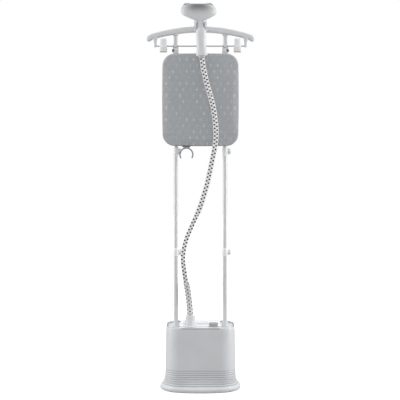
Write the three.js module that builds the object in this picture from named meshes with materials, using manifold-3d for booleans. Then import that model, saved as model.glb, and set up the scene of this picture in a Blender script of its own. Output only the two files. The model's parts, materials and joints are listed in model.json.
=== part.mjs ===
// Upright garment steamer: a base with a boiler and a lift-out tank, two telescoping poles,
// a pressing board, a hanger with two garment clips, and a handset on a steam hose.
// Millimetres, +Z up, -Y is the front. The origin is on the floor under the base's centre.
import * as THREE from "three";
import { mergeVertices } from "three/addons/utils/BufferGeometryUtils.js";
import Module from "manifold-3d";

const wasm = await Module();
wasm.setup();

// ---------------------------------------------------------------- driving dimensions

const GAP = 0.3; // between pieces that touch
const TURN = 12; // sides of a round piece

// Base
const DECK_HALF_X = 144;
const DECK_HALF_Y = 118;
const DECK_CORNER = 61;
const RIM_Z = 271;
const DECK_Z = 265.5;
const DECK_THICK = 3.2;
const SHELL_WALL = 3;
const TRIM_WALL = 2;
const LEDGE = 5;
const PLATE_Z = 6.3;
const PLATE_THICK = 2.7;
const SOCKET_TOP = 60;
const FOOT_PAD_R = 12;
const FOOT_PAD_X = 118;
const FOOT_PAD_Y = 92;
// How far the housing's wall stands outside the deck's outline, and the height there.
const FLARE = [
  [24.6, 3],
  [27.6, 6],
  [27.2, 12],
  [25.5, 17],
  [19.5, 23],
  [14, 31],
  [9.5, 42],
  [6, 58],
  [4.5, 84],
  [0.8, 258],
];

// Poles
const HANGER_MIDDLE = 1515;
const POLE_X = 103.5;
const POLE_Y = -40;
const LOWER_R = 11;
const LOWER_WALL = 0.9;
const MIDDLE_WALL = 1;
const UPPER_WALL = 1;
const MIDDLE_R = LOWER_R - LOWER_WALL - 0.6;
const UPPER_R = MIDDLE_R - MIDDLE_WALL - 0.5;
const LOWER_TOP = 590;
const MIDDLE_TOP = 1018;
const POLE_TOP = HANGER_MIDDLE - 12;
const OVERLAP_LOWER = 90;
const OVERLAP_UPPER = 88;
const TUBE_FIT = 0.4;
const COLLAR_HEIGHT = 13.5;
const COLLAR_WALL = 2.1;

// Flip locks
const LOCK_WALL = 1.8;
const LOWER_LOCK_HEIGHT = 33.5;
const UPPER_LOCK_HEIGHT = 42;
const LOCK_CAP = 8;
const LEVER_WIDE = 15;
const LEVER_TALL = 27;
const LEVER_DEEP = 14;
const LEVER_HEEL = 4;
const LEVER_PIN_R = 1.6;
const EAR_R = 3.2;
const EAR_WALL = 3;
const PIVOT_OUT = 4.6;

// Water tank
const TANK_HALF_X = 82.5;
const TANK_FRONT = 43;
const TANK_BACK = 103;
const TANK_FLOOR = 84;
const TANK_WALL = 2.2;
const TANK_CORNER = 12;
const TANK_FIT = 1.5;
const WELL_WALL = 2.5;
const LID_THICK = 9;
const CAP_R = 21;
const CAP_HEIGHT = 8.5;

// Boiler and controls
const BOILER_R = 32;
const BOILER_LENGTH = 110;
const BOILER_Z = 60;
const OUTLET_X = -43;
const KNOB_X = 55;
const KNOB_R = 19;
const KNOB_HEIGHT = 17;
const SHAFT_R = 3;

// Hose connector and hose
const FLANGE_R = 27;
const DOME_R = 20.5;
const DOME_TOP = 316;
const SOCKET_R = 14.4;
const SOCKET_FLOOR = 291.5;
const STEAM_BORE_R = 4;
const HOSE_R = 11;
const SLEEVE_R = 13.5;
const HOSE_POINTS = [
  [-43, -40, 292],
  [-43.2, -40, 322],
  [-46.5, -44, 362],
  [-53, -56, 418],
  [-64.6, -78, 484],
  [-72.8, -90, 568],
  [-60.4, -92, 635],
  [-33.3, -92, 702],
  [-4, -93, 768],
  [26.7, -94, 868],
  [48.5, -96, 968],
  [62.3, -98, 1042],
  [64.3, -98, 1092],
  [51.9, -98, 1192],
  [24.7, -98, 1292],
  [11, -98.5, 1356],
  [6.9, -99, 1390.4],
];
const SLEEVE_END_Z = 457;
const LOWER_HOSE_END_Z = 740;
const MIDDLE_HOSE_END_Z = 1240;

// Hanger and garment clips
const HANGER_HALF = 226.5;
const HANGER_DEEP = 34;
const HANGER_TALL = 25;
const HANGER_DROP = 36;
const TIP_DROP = 7;
const RAIL_R = 2.5;
const RAIL_Y = POLE_Y - UPPER_R - RAIL_R - 0.9;
const RAIL_Z = HANGER_MIDDLE - 71;
const ARM_INSET = 38.5;
const CLIP_X = HANGER_HALF - ARM_INSET - 33.4;
const CLIP_TOP_WIDE = 27;
const CLIP_LOW_WIDE = 32;
const CLIP_ABOVE = 31;
const CLIP_BELOW = 26.5;
const KNUCKLE_R = 5.4;

// Pressing board
const BOARD_HALF_X = 158.9;
const BOARD_LOW = 1027;
const BOARD_HIGH = RAIL_Z - 31.5;
const BOARD_CORNER = 48;
const BOARD_BULGE = 2;
const PANEL_BACK = POLE_Y - LOWER_R - TUBE_FIT - LOCK_WALL - 4.8;
const PANEL_THICK = 6;
const PAD_THICK = 13.5;
const PAD_OVERLAP = 2;
const BRACKET_LOW = BOARD_HIGH - 22.5;
const BRACKET_HIGH = RAIL_Z - 7;
const RING_X = -58.8;
const RING_INNER = 24;
const RING_OUTER = 30;
const RING_Z = BOARD_LOW - RING_OUTER - 5;
const RING_DEEP = 12;

// Handset
const HANDSET_X = 5.8;
const HANDSET_Y = PANEL_BACK - PANEL_THICK - PAD_THICK - 21.5;
const HANDSET_Z = HANGER_MIDDLE - 115;
const HANDSET_LEAN = THREE.MathUtils.degToRad(-4.2);
const CHANNEL_R = 7;
const PIPE_R = 5;
const CUFF_LENGTH = 8;
const FACE_TILT = THREE.MathUtils.degToRad(35);
const FACE_Y = 17;
const FACE_Z = 191;
const FACE_THICK = 3.5;
// Height, half width, front and back of each section of the handset.
const HANDSET_SECTIONS = [
  [0, 24.5, -19.5, 19.5],
  [10, 22.5, -19, 19],
  [50, 19, -17, 17],
  [100, 20.5, -17.5, 17.5],
  [106, 19, -16.5, 16.5],
  [112, 14, -14.5, 14.5],
  [139, 12.8, -14, 14],
  [147.5, 12.8, -14.5, 14.5],
  [150, 30, -16, 17],
  [156, 38, -18.5, 23],
  [164, 50.4, -21, 30],
  [171.5, 64, -23, 36],
  [180, 70, -24, 42],
  [190.6, 73.6, -23.5, 44],
  [202, 71, -21, 44],
  [210, 66, -16, 42],
  [217, 58, -9, 40],
];
const FORK_LOW = HANDSET_Z + 116;
const FORK_HIGH = HANDSET_Z + 145;
const FORK_INNER = 19;
const FORK_WALL = 8;
const FORK_FRONT = HANDSET_Y - 17;

// Power cord's inlet
const GLAND_X = 60;
const GLAND_Z = 40;
const GLAND_R = 7;

// ---------------------------------------------------------------- finishes

/** A finish: colour, roughness and metalness. */
const finish = (color, roughness, metalness = 0) =>
  new THREE.MeshStandardMaterial({ color, roughness, metalness });

const HOUSING = finish(0xc6c7ca, 0.45);
const WHITE = finish(0xf1f1f2, 0.25);
const LIGHT = finish(0xd9dadc, 0.4);
const GREY = finish(0xa9abae, 0.45);
const DARK = finish(0x4a4b4e, 0.5);
const SILVER = finish(0xc4c6c9, 0.3, 0.9);
const CAST = finish(0x9a9c9f, 0.6, 0.8);
const CLEAR = finish(0xcfe0e8, 0.1);
const BLACK = finish(0x202123, 0.8);
const FABRIC = finish(0x96979a, 0.95);
const WOVEN = finish(0xdedfe0, 0.9);

// ---------------------------------------------------------------- solids

/** A manifold solid from a closed three.js geometry. */
function solid(geometry) {
  const plain = geometry.index ? geometry.toNonIndexed() : geometry.clone();
  plain.deleteAttribute("normal");
  plain.deleteAttribute("uv");
  const merged = mergeVertices(plain, 1e-4);
  return new wasm.Manifold(
    new wasm.Mesh({
      numProp: 3,
      vertProperties: merged.attributes.position.array,
      triVerts: new Uint32Array(merged.index.array),
    }),
  );
}

/** A three.js geometry from a manifold solid. */
function geometryOf(body) {
  const mesh = body.getMesh();
  const geometry = new THREE.BufferGeometry();
  geometry.setAttribute(
    "position",
    new THREE.BufferAttribute(new Float32Array(mesh.vertProperties), 3),
  );
  geometry.setIndex(new THREE.BufferAttribute(new Uint32Array(mesh.triVerts), 1));
  geometry.computeVertexNormals();
  return geometry;
}

const join = (...pieces) =>
  geometryOf(pieces.map(solid).reduce((whole, next) => whole.add(next)));

const cut = (piece, ...tools) =>
  geometryOf(tools.map(solid).reduce((left, tool) => left.subtract(tool), solid(piece)));

const common = (piece, ...others) =>
  geometryOf(others.map(solid).reduce((left, other) => left.intersect(other), solid(piece)));

/** A box from its lowest to its highest corner. */
const box = ([x0, y0, z0], [x1, y1, z1]) =>
  new THREE.BoxGeometry(x1 - x0, y1 - y0, z1 - z0).translate(
    (x0 + x1) / 2,
    (y0 + y1) / 2,
    (z0 + z1) / 2,
  );

/** A turned piece about Z. The profile is a list of [radius, height], outside going up. */
const turned = (profile, sides = TURN) =>
  new THREE.LatheGeometry(
    profile.map(([r, z]) => new THREE.Vector2(r, z)),
    sides,
  ).rotateX(Math.PI / 2);

/** A solid rod about Z. */
const rod = (r, z0, z1, sides = TURN) =>
  turned([[0, z0], [r, z0], [r, z1], [0, z1]], sides);

/** A hollow tube about Z. */
const pipe = (outer, inner, z0, z1, sides = TURN) =>
  turned([[outer, z0], [outer, z1], [inner, z1], [inner, z0], [outer, z0]], sides);

/** A rod along X, from x0 to x1, on the line through [y, z]. */
const rodX = (r, x0, x1, [y, z], sides = TURN) =>
  rod(r, x0, x1, sides)
    .rotateY(Math.PI / 2)
    .translate(0, y, z);

/** A rod along Y, from y0 to y1, on the line through [x, z]. */
const rodY = (r, y0, y1, [x, z], sides = TURN) =>
  rod(r, -y1, -y0, sides)
    .rotateX(Math.PI / 2)
    .translate(x, 0, z);

/** A flat shape through a list of [x, y]. */
const outline = (points) => new THREE.Shape(points.map(([x, y]) => new THREE.Vector2(x, y)));

/** A shape raised along Z from z0 to z1. */
const raised = (shape, z0, z1, curveSegments = 6) =>
  new THREE.ExtrudeGeometry(shape, {
    depth: z1 - z0,
    bevelEnabled: false,
    curveSegments,
  }).translate(0, 0, z0);

/** A shape drawn in X and Z, raised along Y from y0 to y1. */
const standing = (shape, y0, y1, curveSegments = 6) =>
  raised(shape, -y1, -y0, curveSegments).rotateX(Math.PI / 2);

/** A shape drawn in Y and Z, raised along X from x0 to x1. */
const sideways = (shape, x0, x1) =>
  raised(shape, x0, x1).rotateX(Math.PI / 2).rotateZ(Math.PI / 2);

/** The points of a rectangle with round corners, turning left. */
function roundCorners(halfX, halfY, radius, steps = 5) {
  const centres = [
    [halfX - radius, halfY - radius],
    [radius - halfX, halfY - radius],
    [radius - halfX, radius - halfY],
    [halfX - radius, radius - halfY],
  ];
  return centres.flatMap(([x, y], corner) =>
    Array.from({ length: steps + 1 }, (_, i) => {
      const angle = ((corner + i / steps) * Math.PI) / 2;
      return [x + radius * Math.cos(angle), y + radius * Math.sin(angle)];
    }),
  );
}

/** The deck's outline, moved outwards by `offset`. */
const plan = (offset, steps = 5) =>
  roundCorners(DECK_HALF_X + offset, DECK_HALF_Y + offset, DECK_CORNER + offset, steps);

/** A ring that follows the deck's outline. The profile is a list of [offset, height]. */
function planRing(profile, steps = 5) {
  const sides = 4 * (steps + 1);
  const geometry = new THREE.LatheGeometry(
    profile.map(([, z]) => new THREE.Vector2(1, z)),
    sides,
  );
  const position = geometry.getAttribute("position");
  profile.forEach(([offset, z], j) => {
    const around = plan(offset, steps);
    for (let i = 0; i <= sides; i += 1) {
      const [x, y] = around[i % sides];
      position.setXYZ(i * profile.length + j, x, y, z);
    }
  });
  return geometry;
}

/** A closed skin over stacked sections, each a list of [x, y] at its height. */
function lofted(sections) {
  const sides = sections[0].points.length;
  const rows = sections.length;
  const profile = [[0, 0], ...sections.map(() => [1, 0]), [0, 0]];
  const geometry = new THREE.LatheGeometry(
    profile.map(([r, z]) => new THREE.Vector2(r, z)),
    sides,
  );
  const position = geometry.getAttribute("position");
  const middle = ({ points }) => {
    const ys = points.map(([, y]) => y);
    return [0, (Math.min(...ys) + Math.max(...ys)) / 2];
  };
  for (let i = 0; i <= sides; i += 1) {
    for (let j = 0; j <= rows + 1; j += 1) {
      const section = sections[Math.min(Math.max(j - 1, 0), rows - 1)];
      const atAxis = j === 0 || j === rows + 1;
      const [x, y] = atAxis ? middle(section) : section.points[i % sides];
      position.setXYZ(i * (rows + 2) + j, x, y, section.z);
    }
  }
  return geometry;
}

/** A round cord along part of a curve, from share u0 to share u1 of its length. */
function cord(curve, radius, u0, u1, steps, sides = 10) {
  const points = Array.from({ length: steps + 1 }, (_, i) =>
    curve.getPointAt(u0 + ((u1 - u0) * i) / steps),
  );
  const section = outline(
    Array.from({ length: sides }, (_, i) => {
      const angle = (i * 2 * Math.PI) / sides;
      return [radius * Math.cos(angle), radius * Math.sin(angle)];
    }),
  );
  return new THREE.ExtrudeGeometry(section, {
    steps,
    extrudePath: new THREE.CatmullRomCurve3(points),
  });
}

// ---------------------------------------------------------------- assembly

const steamer = new THREE.Group();

/** Adds a named piece to a group, with its finish. */
function piece(name, geometry, material, group = steamer) {
  const mesh = new THREE.Mesh(geometry, material);
  mesh.name = name;
  group.add(mesh);
  return mesh;
}

/** Does something for the left and the right side. */
const bothSides = (make) =>
  [["left", -1], ["right", 1]].forEach(([side, sign]) => make(side, sign));

// ---------------------------------------------------------------- base

const LOWER_BOTTOM = PLATE_Z + PLATE_THICK + GAP;
const DECK_UNDER = DECK_Z - DECK_THICK;
const TRIM_OUT = -SHELL_WALL - GAP;
const TRIM_IN = TRIM_OUT - TRIM_WALL;
const WELL_X = TANK_HALF_X + TANK_FIT;
const WELL_FRONT = TANK_FRONT - TANK_FIT;
const WELL_BACK = TANK_BACK + TANK_FIT;
const WELL_CORNER = TANK_CORNER + TANK_FIT;
const TANK_Y = (TANK_FRONT + TANK_BACK) / 2;
const WELL_FLOOR = TANK_FLOOR - CAP_HEIGHT - WELL_WALL - 2 * GAP - 0.2;

/** A tube's bore, cut with room for the piece that slides in it. */
const hole = (r, x, y, z0, z1) => rod(r, z0, z1).translate(x, y, 0);

function makeHousing() {
  const outer = [...FLARE, [0, RIM_Z]];
  const inner = outer
    .filter((_, i) => i % 2 === 1 || i === 0 || i === outer.length - 1)
    .map(([offset, z]) => [offset - SHELL_WALL, z])
    .reverse();
  const shell = planRing([...outer, ...inner, outer[0]]);
  const inlet = rodY(GLAND_R + TUBE_FIT, DECK_HALF_Y - 10, DECK_HALF_Y + 40, [GLAND_X, GLAND_Z]);
  piece("base_shell", cut(shell, inlet), HOUSING);

  const under = DECK_UNDER - GAP;
  piece(
    "rim_trim",
    planRing([
      [TRIM_OUT, under - TRIM_WALL],
      [TRIM_OUT, RIM_Z + 0.4],
      [TRIM_IN, RIM_Z + 0.4],
      [TRIM_IN, under],
      [TRIM_IN - LEDGE, under],
      [TRIM_IN - LEDGE, under - TRIM_WALL],
      [TRIM_OUT, under - TRIM_WALL],
    ]),
    DARK,
  );

  const plateTop = PLATE_Z + PLATE_THICK;
  const plate = raised(outline(plan(FLARE[1][0] - SHELL_WALL - 1)), PLATE_Z, plateTop);
  const sockets = [-1, 1].map((sign) =>
    pipe(LOWER_R + TUBE_FIT + 3.5, LOWER_R + TUBE_FIT, plateTop - 0.5, SOCKET_TOP).translate(
      sign * POLE_X,
      POLE_Y,
      0,
    ),
  );
  piece("base_plate", join(plate, ...sockets), DARK);

  [["front_left", -1, -1], ["front_right", 1, -1], ["rear_left", -1, 1], ["rear_right", 1, 1]].forEach(
    ([place, signX, signY]) =>
      piece(
        `foot_pad_${place}`,
        rod(FOOT_PAD_R, 0, PLATE_Z - GAP).translate(signX * FOOT_PAD_X, signY * FOOT_PAD_Y, 0),
        BLACK,
      ),
  );
}

function makeDeck() {
  const sheet = raised(outline(plan(TRIM_IN - GAP)), DECK_UNDER, DECK_Z);
  const mouth = raised(
    outline(roundCorners(WELL_X, (WELL_BACK - WELL_FRONT) / 2, WELL_CORNER, 4)),
    DECK_UNDER - 1,
    DECK_Z + 1,
  ).translate(0, TANK_Y, 0);
  const through = [DECK_UNDER - 1, DECK_Z + 1];
  piece(
    "top_deck",
    cut(
      sheet,
      mouth,
      hole(LOWER_R + TUBE_FIT, -POLE_X, POLE_Y, ...through),
      hole(LOWER_R + TUBE_FIT, POLE_X, POLE_Y, ...through),
      hole(STEAM_BORE_R + 4, OUTLET_X, POLE_Y, ...through),
      hole(SHAFT_R + 1, KNOB_X, POLE_Y, ...through),
    ),
    WHITE,
  );

  bothSides((side, sign) =>
    piece(
      `pole_collar_${side}`,
      turned([
        [LOWER_R + TUBE_FIT, DECK_Z + GAP],
        [LOWER_R + TUBE_FIT + COLLAR_WALL, DECK_Z + GAP],
        [LOWER_R + TUBE_FIT + COLLAR_WALL, DECK_Z + COLLAR_HEIGHT - 1.5],
        [LOWER_R + TUBE_FIT + COLLAR_WALL - 1, DECK_Z + COLLAR_HEIGHT],
        [LOWER_R + TUBE_FIT, DECK_Z + COLLAR_HEIGHT],
        [LOWER_R + TUBE_FIT, DECK_Z + GAP],
      ]).translate(sign * POLE_X, POLE_Y, 0),
      LIGHT,
    ),
  );
}

/** A block with round corners over the tank's outline, moved outwards by `offset`. */
const tankBlock = (offset, z0, z1) =>
  raised(
    outline(
      roundCorners(
        TANK_HALF_X + offset,
        (TANK_BACK - TANK_FRONT) / 2 + offset,
        TANK_CORNER + offset,
        4,
      ),
    ),
    z0,
    z1,
  ).translate(0, TANK_Y, 0);

function makeTankWell() {
  const seatR = CAP_R - 6;
  const floorTop = WELL_FLOOR + WELL_WALL;
  piece(
    "tank_well",
    cut(
      tankBlock(TANK_FIT + WELL_WALL, WELL_FLOOR, DECK_UNDER - GAP),
      tankBlock(TANK_FIT, floorTop, DECK_UNDER + 1),
      hole(seatR, 0, TANK_Y, WELL_FLOOR - 1, floorTop + 1),
    ),
    GREY,
  );
  const port = STEAM_BORE_R + 3;
  piece(
    "tank_valve_seat",
    turned([
      [STEAM_BORE_R, WELL_FLOOR - 10],
      [port, WELL_FLOOR - 10],
      [port, WELL_FLOOR - 3],
      [seatR + 3, WELL_FLOOR - 3],
      [seatR + 3, WELL_FLOOR - GAP],
      [seatR - GAP, WELL_FLOOR - GAP],
      [seatR - GAP, floorTop],
      [seatR - 4, floorTop],
      [seatR - 4, WELL_FLOOR],
      [STEAM_BORE_R, WELL_FLOOR],
      [STEAM_BORE_R, WELL_FLOOR - 10],
    ]).translate(0, TANK_Y, 0),
    DARK,
  );
}

function makeTank() {
  const neckR = CAP_R - 3;
  const lidZ = DECK_Z + GAP;
  const shell = cut(
    tankBlock(0, TANK_FLOOR, lidZ - GAP),
    tankBlock(-TANK_WALL, TANK_FLOOR + TANK_WALL, lidZ + 1),
  );
  const neck = rod(neckR, TANK_FLOOR - CAP_HEIGHT + 3.5, TANK_FLOOR + 1, 2 * TURN).translate(
    0,
    TANK_Y,
    0,
  );
  const mouth = hole(neckR - 3, 0, TANK_Y, TANK_FLOOR - CAP_HEIGHT, TANK_FLOOR + TANK_WALL + 1);
  piece("tank_shell", cut(join(shell, neck), mouth), CLEAR);

  const capZ = TANK_FLOOR - CAP_HEIGHT - GAP;
  piece(
    "tank_cap",
    turned([
      [0, capZ],
      [CAP_R, capZ],
      [CAP_R, TANK_FLOOR - GAP],
      [neckR + TUBE_FIT, TANK_FLOOR - GAP],
      [neckR + TUBE_FIT, capZ + 2.5],
      [0, capZ + 2.5],
    ], 2 * TURN).translate(0, TANK_Y, 0),
    DARK,
  );

  const lid = join(
    tankBlock(TANK_FIT + 1.5, lidZ, lidZ + LID_THICK - 1.5),
    tankBlock(TANK_FIT, lidZ, lidZ + LID_THICK),
    tankBlock(-TANK_WALL - TUBE_FIT, lidZ - 7, lidZ + 1),
  );
  const grip = box([-40, TANK_Y - 6, lidZ + 2], [40, TANK_Y + 18, lidZ + LID_THICK + 1]);
  piece("tank_lid", cut(lid, grip), WHITE);
}

function makeBoiler() {
  const x0 = -BOILER_LENGTH / 2 - 10;
  const x1 = BOILER_LENGTH / 2 - 10;
  const plateTop = PLATE_Z + PLATE_THICK + GAP;
  const top = BOILER_Z + BOILER_R;
  const back = POLE_Y + BOILER_R;
  const foot = (x) => box([x - 6, POLE_Y - 24, plateTop], [x + 6, POLE_Y + 24, BOILER_Z]);
  piece(
    "boiler",
    join(
      rodX(BOILER_R, x0, x1, [POLE_Y, BOILER_Z], 16),
      foot(x0 + 18),
      foot(x1 - 18),
      rod(8, BOILER_Z, top + 5).translate(OUTLET_X, POLE_Y, 0),
      rodY(7, POLE_Y, back + 8, [0, 46], 12),
      box([12, POLE_Y - 10, BOILER_Z], [32, POLE_Y + 10, top + 2]),
    ),
    CAST,
  );
  piece(
    "thermostat",
    join(
      rod(9, top + 2 + GAP, top + 8).translate(22, POLE_Y, 0),
      box([18, POLE_Y - 7, top + 7], [26, POLE_Y + 7, top + 12]),
    ),
    DARK,
  );
  piece(
    "steam_tube",
    pipe(6, STEAM_BORE_R, top + 5 + GAP, DECK_UNDER - 7 - GAP, 12).translate(OUTLET_X, POLE_Y, 0),
    BLACK,
  );
  const feed = new THREE.CatmullRomCurve3(
    [
      [0, TANK_Y, WELL_FLOOR - 10.6],
      [0, TANK_Y, WELL_FLOOR - 15],
      [0, TANK_Y - 12, 47],
      [0, TANK_Y - 32, 46],
      [0, back + 8.5, 46],
    ].map((point) => new THREE.Vector3(...point)),
  );
  piece("feed_tube", cord(feed, 5, 0, 1, 14, 8), BLACK);
}

function makeControls() {
  const switchTop = DECK_UNDER - GAP;
  const body = join(
    box([KNOB_X - 15, POLE_Y - 15, switchTop - 28], [KNOB_X + 15, POLE_Y + 15, switchTop - 6]),
    rod(9, switchTop - 8, switchTop).translate(KNOB_X, POLE_Y, 0),
  );
  piece(
    "control_switch",
    cut(body, hole(SHAFT_R + TUBE_FIT, KNOB_X, POLE_Y, switchTop - 18, switchTop + 1)),
    DARK,
  );
  const knobZ = DECK_Z + GAP;
  const top = knobZ + KNOB_HEIGHT;
  const dial = turned([
    [0, switchTop - 17],
    [SHAFT_R, switchTop - 17],
    [SHAFT_R, knobZ],
    [KNOB_R, knobZ],
    [KNOB_R, knobZ + 3],
    [KNOB_R - 1.5, knobZ + 4],
    [KNOB_R - 2, top - 2],
    [KNOB_R - 4, top],
    [0, top],
  ], 18);
  const mark = box([-1.2, -KNOB_R + 3, top - 1], [1.2, -KNOB_R + 11, top + 0.6]);
  piece("steam_knob", join(dial, mark).translate(KNOB_X, POLE_Y, 0), GREY);
}

function makeHoseConnector() {
  const low = DECK_UNDER - 7;
  const stub = STEAM_BORE_R + 3;
  const flange = DECK_Z + GAP;
  piece(
    "hose_connector",
    turned([
      [STEAM_BORE_R, low],
      [stub, low],
      [stub, flange],
      [FLANGE_R, flange],
      [FLANGE_R, flange + 2.7],
      [FLANGE_R - 1.5, flange + 4.5],
      [DOME_R + 1, flange + 5.5],
      [DOME_R, flange + 8],
      [DOME_R - 0.6, DOME_TOP - 12],
      [DOME_R - 2.5, DOME_TOP - 4],
      [DOME_R - 4.5, DOME_TOP],
      [SOCKET_R, DOME_TOP],
      [SOCKET_R, SOCKET_FLOOR],
      [STEAM_BORE_R, SOCKET_FLOOR],
      [STEAM_BORE_R, low],
    ], 16).translate(OUTLET_X, POLE_Y, 0),
    LIGHT,
  );
  const wall = DECK_HALF_Y + FLARE[7][0];
  const relief = turned([
    [3.6, wall - 4],
    [GLAND_R + 4, wall - 4],
    [GLAND_R + 4, wall - 1.5],
    [GLAND_R, wall - 1.5],
    [GLAND_R - 0.6, wall + 12],
    [GLAND_R - 2, wall + 20],
    [3.6, wall + 20],
    [3.6, wall - 4],
  ], 12);
  piece(
    "cord_gland",
    relief.rotateX(-Math.PI / 2).translate(GLAND_X, 0, GLAND_Z),
    BLACK,
  );
}

// ---------------------------------------------------------------- poles and flip locks

/** A flip lock's collar: it grips the inner tube above the outer tube's end. */
function lockCollar(outerR, innerR, tubeTop, height) {
  const bore = outerR + TUBE_FIT;
  const wall = bore + LOCK_WALL;
  const top = tubeTop + LOCK_CAP;
  const low = top - height;
  const ring = turned([
    [bore, low],
    [wall, low],
    [wall, top - 4],
    [wall - 1.2, top],
    [innerR + TUBE_FIT, top],
    [innerR + TUBE_FIT, tubeTop + TUBE_FIT],
    [bore, tubeTop + TUBE_FIT],
    [bore, low],
  ]);
  const pivotX = wall + PIVOT_OUT;
  const pivotZ = (low + top) / 2 - LEVER_TALL / 2 + LEVER_HEEL;
  const ear = (y0, y1) =>
    join(
      rodY(EAR_R, y0, y1, [pivotX, pivotZ], 8),
      box([wall - 1.5, y0, pivotZ - EAR_R], [pivotX, y1, pivotZ + EAR_R]),
    );
  const half = LEVER_DEEP / 2;
  const collar = cut(
    join(ring, ear(-half, -half + EAR_WALL), ear(half - EAR_WALL, half)),
    rodY(LEVER_PIN_R + GAP, -LEVER_DEEP, LEVER_DEEP, [pivotX, pivotZ], 8),
    rod(bore, low - 1, tubeTop + TUBE_FIT),
    rod(innerR + TUBE_FIT, low, top + 1),
  );
  return { collar, wall, pivotX, pivotZ };
}

/** A flip lock's lever: an oval grip that hugs the collar and turns out about its lower end. */
function lockLever({ wall, pivotX, pivotZ }) {
  const centreZ = pivotZ - LEVER_HEEL + LEVER_TALL / 2;
  const half = LEVER_DEEP / 2;
  const inner = half - EAR_WALL - GAP;
  const oval = new THREE.Shape();
  oval.absellipse(pivotX + 0.5, centreZ, LEVER_WIDE / 2, LEVER_TALL / 2, 0, 2 * Math.PI);
  const grip = standing(oval, -half, half, 8);
  const behind = box(
    [wall - 30, -half - 1, pivotZ - 20],
    [wall + GAP + 0.2, half + 1, pivotZ + LEVER_TALL + 5],
  );
  const heel = cut(
    box([pivotX - 10, -half - 1, pivotZ - 10], [pivotX, half + 1, pivotZ]),
    rodY(LEVER_HEEL - 0.2, -half - 2, half + 2, [pivotX, pivotZ], 12),
  );
  const room = EAR_R + 0.7;
  const earRoom = (y0, y1) =>
    join(
      rodY(room, y0, y1, [pivotX, pivotZ], 12),
      box([wall - 2, y0, pivotZ - 12], [pivotX, y1, pivotZ + room]),
      box([pivotX - 1, y0, pivotZ - 12], [pivotX + LEVER_WIDE, y1, pivotZ]),
    );
  return join(
    cut(grip, behind, heel, earRoom(-half - 1, -inner), earRoom(inner, half + 1)),
    rodY(LEVER_PIN_R, -half + 0.5, half - 0.5, [pivotX, pivotZ], 8),
  );
}

function makePoles() {
  const lowerBore = LOWER_R - LOWER_WALL;
  const middleBore = MIDDLE_R - MIDDLE_WALL;
  const lower = lockCollar(LOWER_R, MIDDLE_R, LOWER_TOP, LOWER_LOCK_HEIGHT);
  const upper = lockCollar(MIDDLE_R, UPPER_R, MIDDLE_TOP, UPPER_LOCK_HEIGHT);
  const at = (geometry, sign) => geometry.translate(sign * POLE_X, POLE_Y, 0);
  bothSides((side, sign) => {
    piece(`lower_tube_${side}`, at(pipe(LOWER_R, lowerBore, LOWER_BOTTOM, LOWER_TOP), sign), SILVER);
    piece(
      `middle_tube_${side}`,
      at(pipe(MIDDLE_R, middleBore, LOWER_TOP - OVERLAP_LOWER, MIDDLE_TOP), sign),
      SILVER,
    );
    piece(
      `upper_tube_${side}`,
      at(pipe(UPPER_R, UPPER_R - UPPER_WALL, MIDDLE_TOP - OVERLAP_UPPER, POLE_TOP), sign),
      SILVER,
    );
    piece(`lower_lock_${side}`, at(lower.collar.clone(), sign), WHITE);
    piece(`upper_lock_${side}`, at(upper.collar.clone(), sign), WHITE);
    piece(`lower_lever_${side}`, at(lockLever(lower), sign), LIGHT);
    piece(`upper_lever_${side}`, at(lockLever(upper), sign), LIGHT);
  });
}

// ---------------------------------------------------------------- hanger, rail and clips

const ARM_X = HANGER_HALF - ARM_INSET;

/** The middle line of the hanger bar, at a share of its half length from the centre. */
function archPoint(share, sign) {
  const tip = share > 0.95 ? TIP_DROP : 0;
  return new THREE.Vector3(
    sign * share * (HANGER_HALF - TIP_DROP),
    0,
    HANGER_MIDDLE - HANGER_DROP * share ** 2 - tip,
  );
}

function makeHanger() {
  const shares = [0.2, 0.4, 0.6, 0.8, 0.92, 1];
  const arch = new THREE.CatmullRomCurve3([
    ...[...shares].reverse().map((share) => archPoint(share, -1)),
    archPoint(0, 1),
    ...shares.map((share) => archPoint(share, 1)),
  ]);
  const section = outline(roundCorners(HANGER_DEEP / 2, HANGER_TALL / 2, 8, 2));
  const bar = new THREE.ExtrudeGeometry(section, { steps: 20, extrudePath: arch });
  const arm = (sign) =>
    standing(
      outline([
        [sign * (ARM_X - 4.8), RAIL_Z - 5],
        [sign * (ARM_X + 4.8), RAIL_Z - 5],
        [sign * (ARM_X + 8.6), RAIL_Z + 30],
        [sign * (ARM_X + 8.6), RAIL_Z + 42],
        [sign * (ARM_X - 8.6), RAIL_Z + 42],
        [sign * (ARM_X - 8.6), RAIL_Z + 30],
      ]),
      RAIL_Y - 5,
      RAIL_Y + 5,
    );
  const railHole = (sign) =>
    rodX(RAIL_R + GAP, sign * ARM_X - 10, sign * ARM_X + 3, [RAIL_Y, RAIL_Z], 12);
  const railHoleLeft = rodX(RAIL_R + GAP, -ARM_X - 3, -ARM_X + 10, [RAIL_Y, RAIL_Z], 12);
  const socket = (sign) => hole(UPPER_R + GAP, sign * POLE_X, POLE_Y, RAIL_Z, POLE_TOP + GAP);
  piece(
    "hanger_bar",
    cut(
      join(bar.translate(0, POLE_Y, 0), arm(-1), arm(1)),
      railHole(1),
      railHoleLeft,
      socket(-1),
      socket(1),
    ),
    LIGHT,
  );

  const railEnd = ARM_X + 2;
  const boss = (sign) => rod(UPPER_R + 3.6, RAIL_Z - 6, RAIL_Z + 6).translate(sign * POLE_X, POLE_Y, 0);
  piece(
    "clip_rail",
    cut(
      join(rodX(RAIL_R, -railEnd, railEnd, [RAIL_Y, RAIL_Z], 12), boss(-1), boss(1)),
      hole(UPPER_R + GAP, -POLE_X, POLE_Y, RAIL_Z - 8, RAIL_Z + 8),
      hole(UPPER_R + GAP, POLE_X, POLE_Y, RAIL_Z - 8, RAIL_Z + 8),
    ),
    GREY,
  );
}

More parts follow.
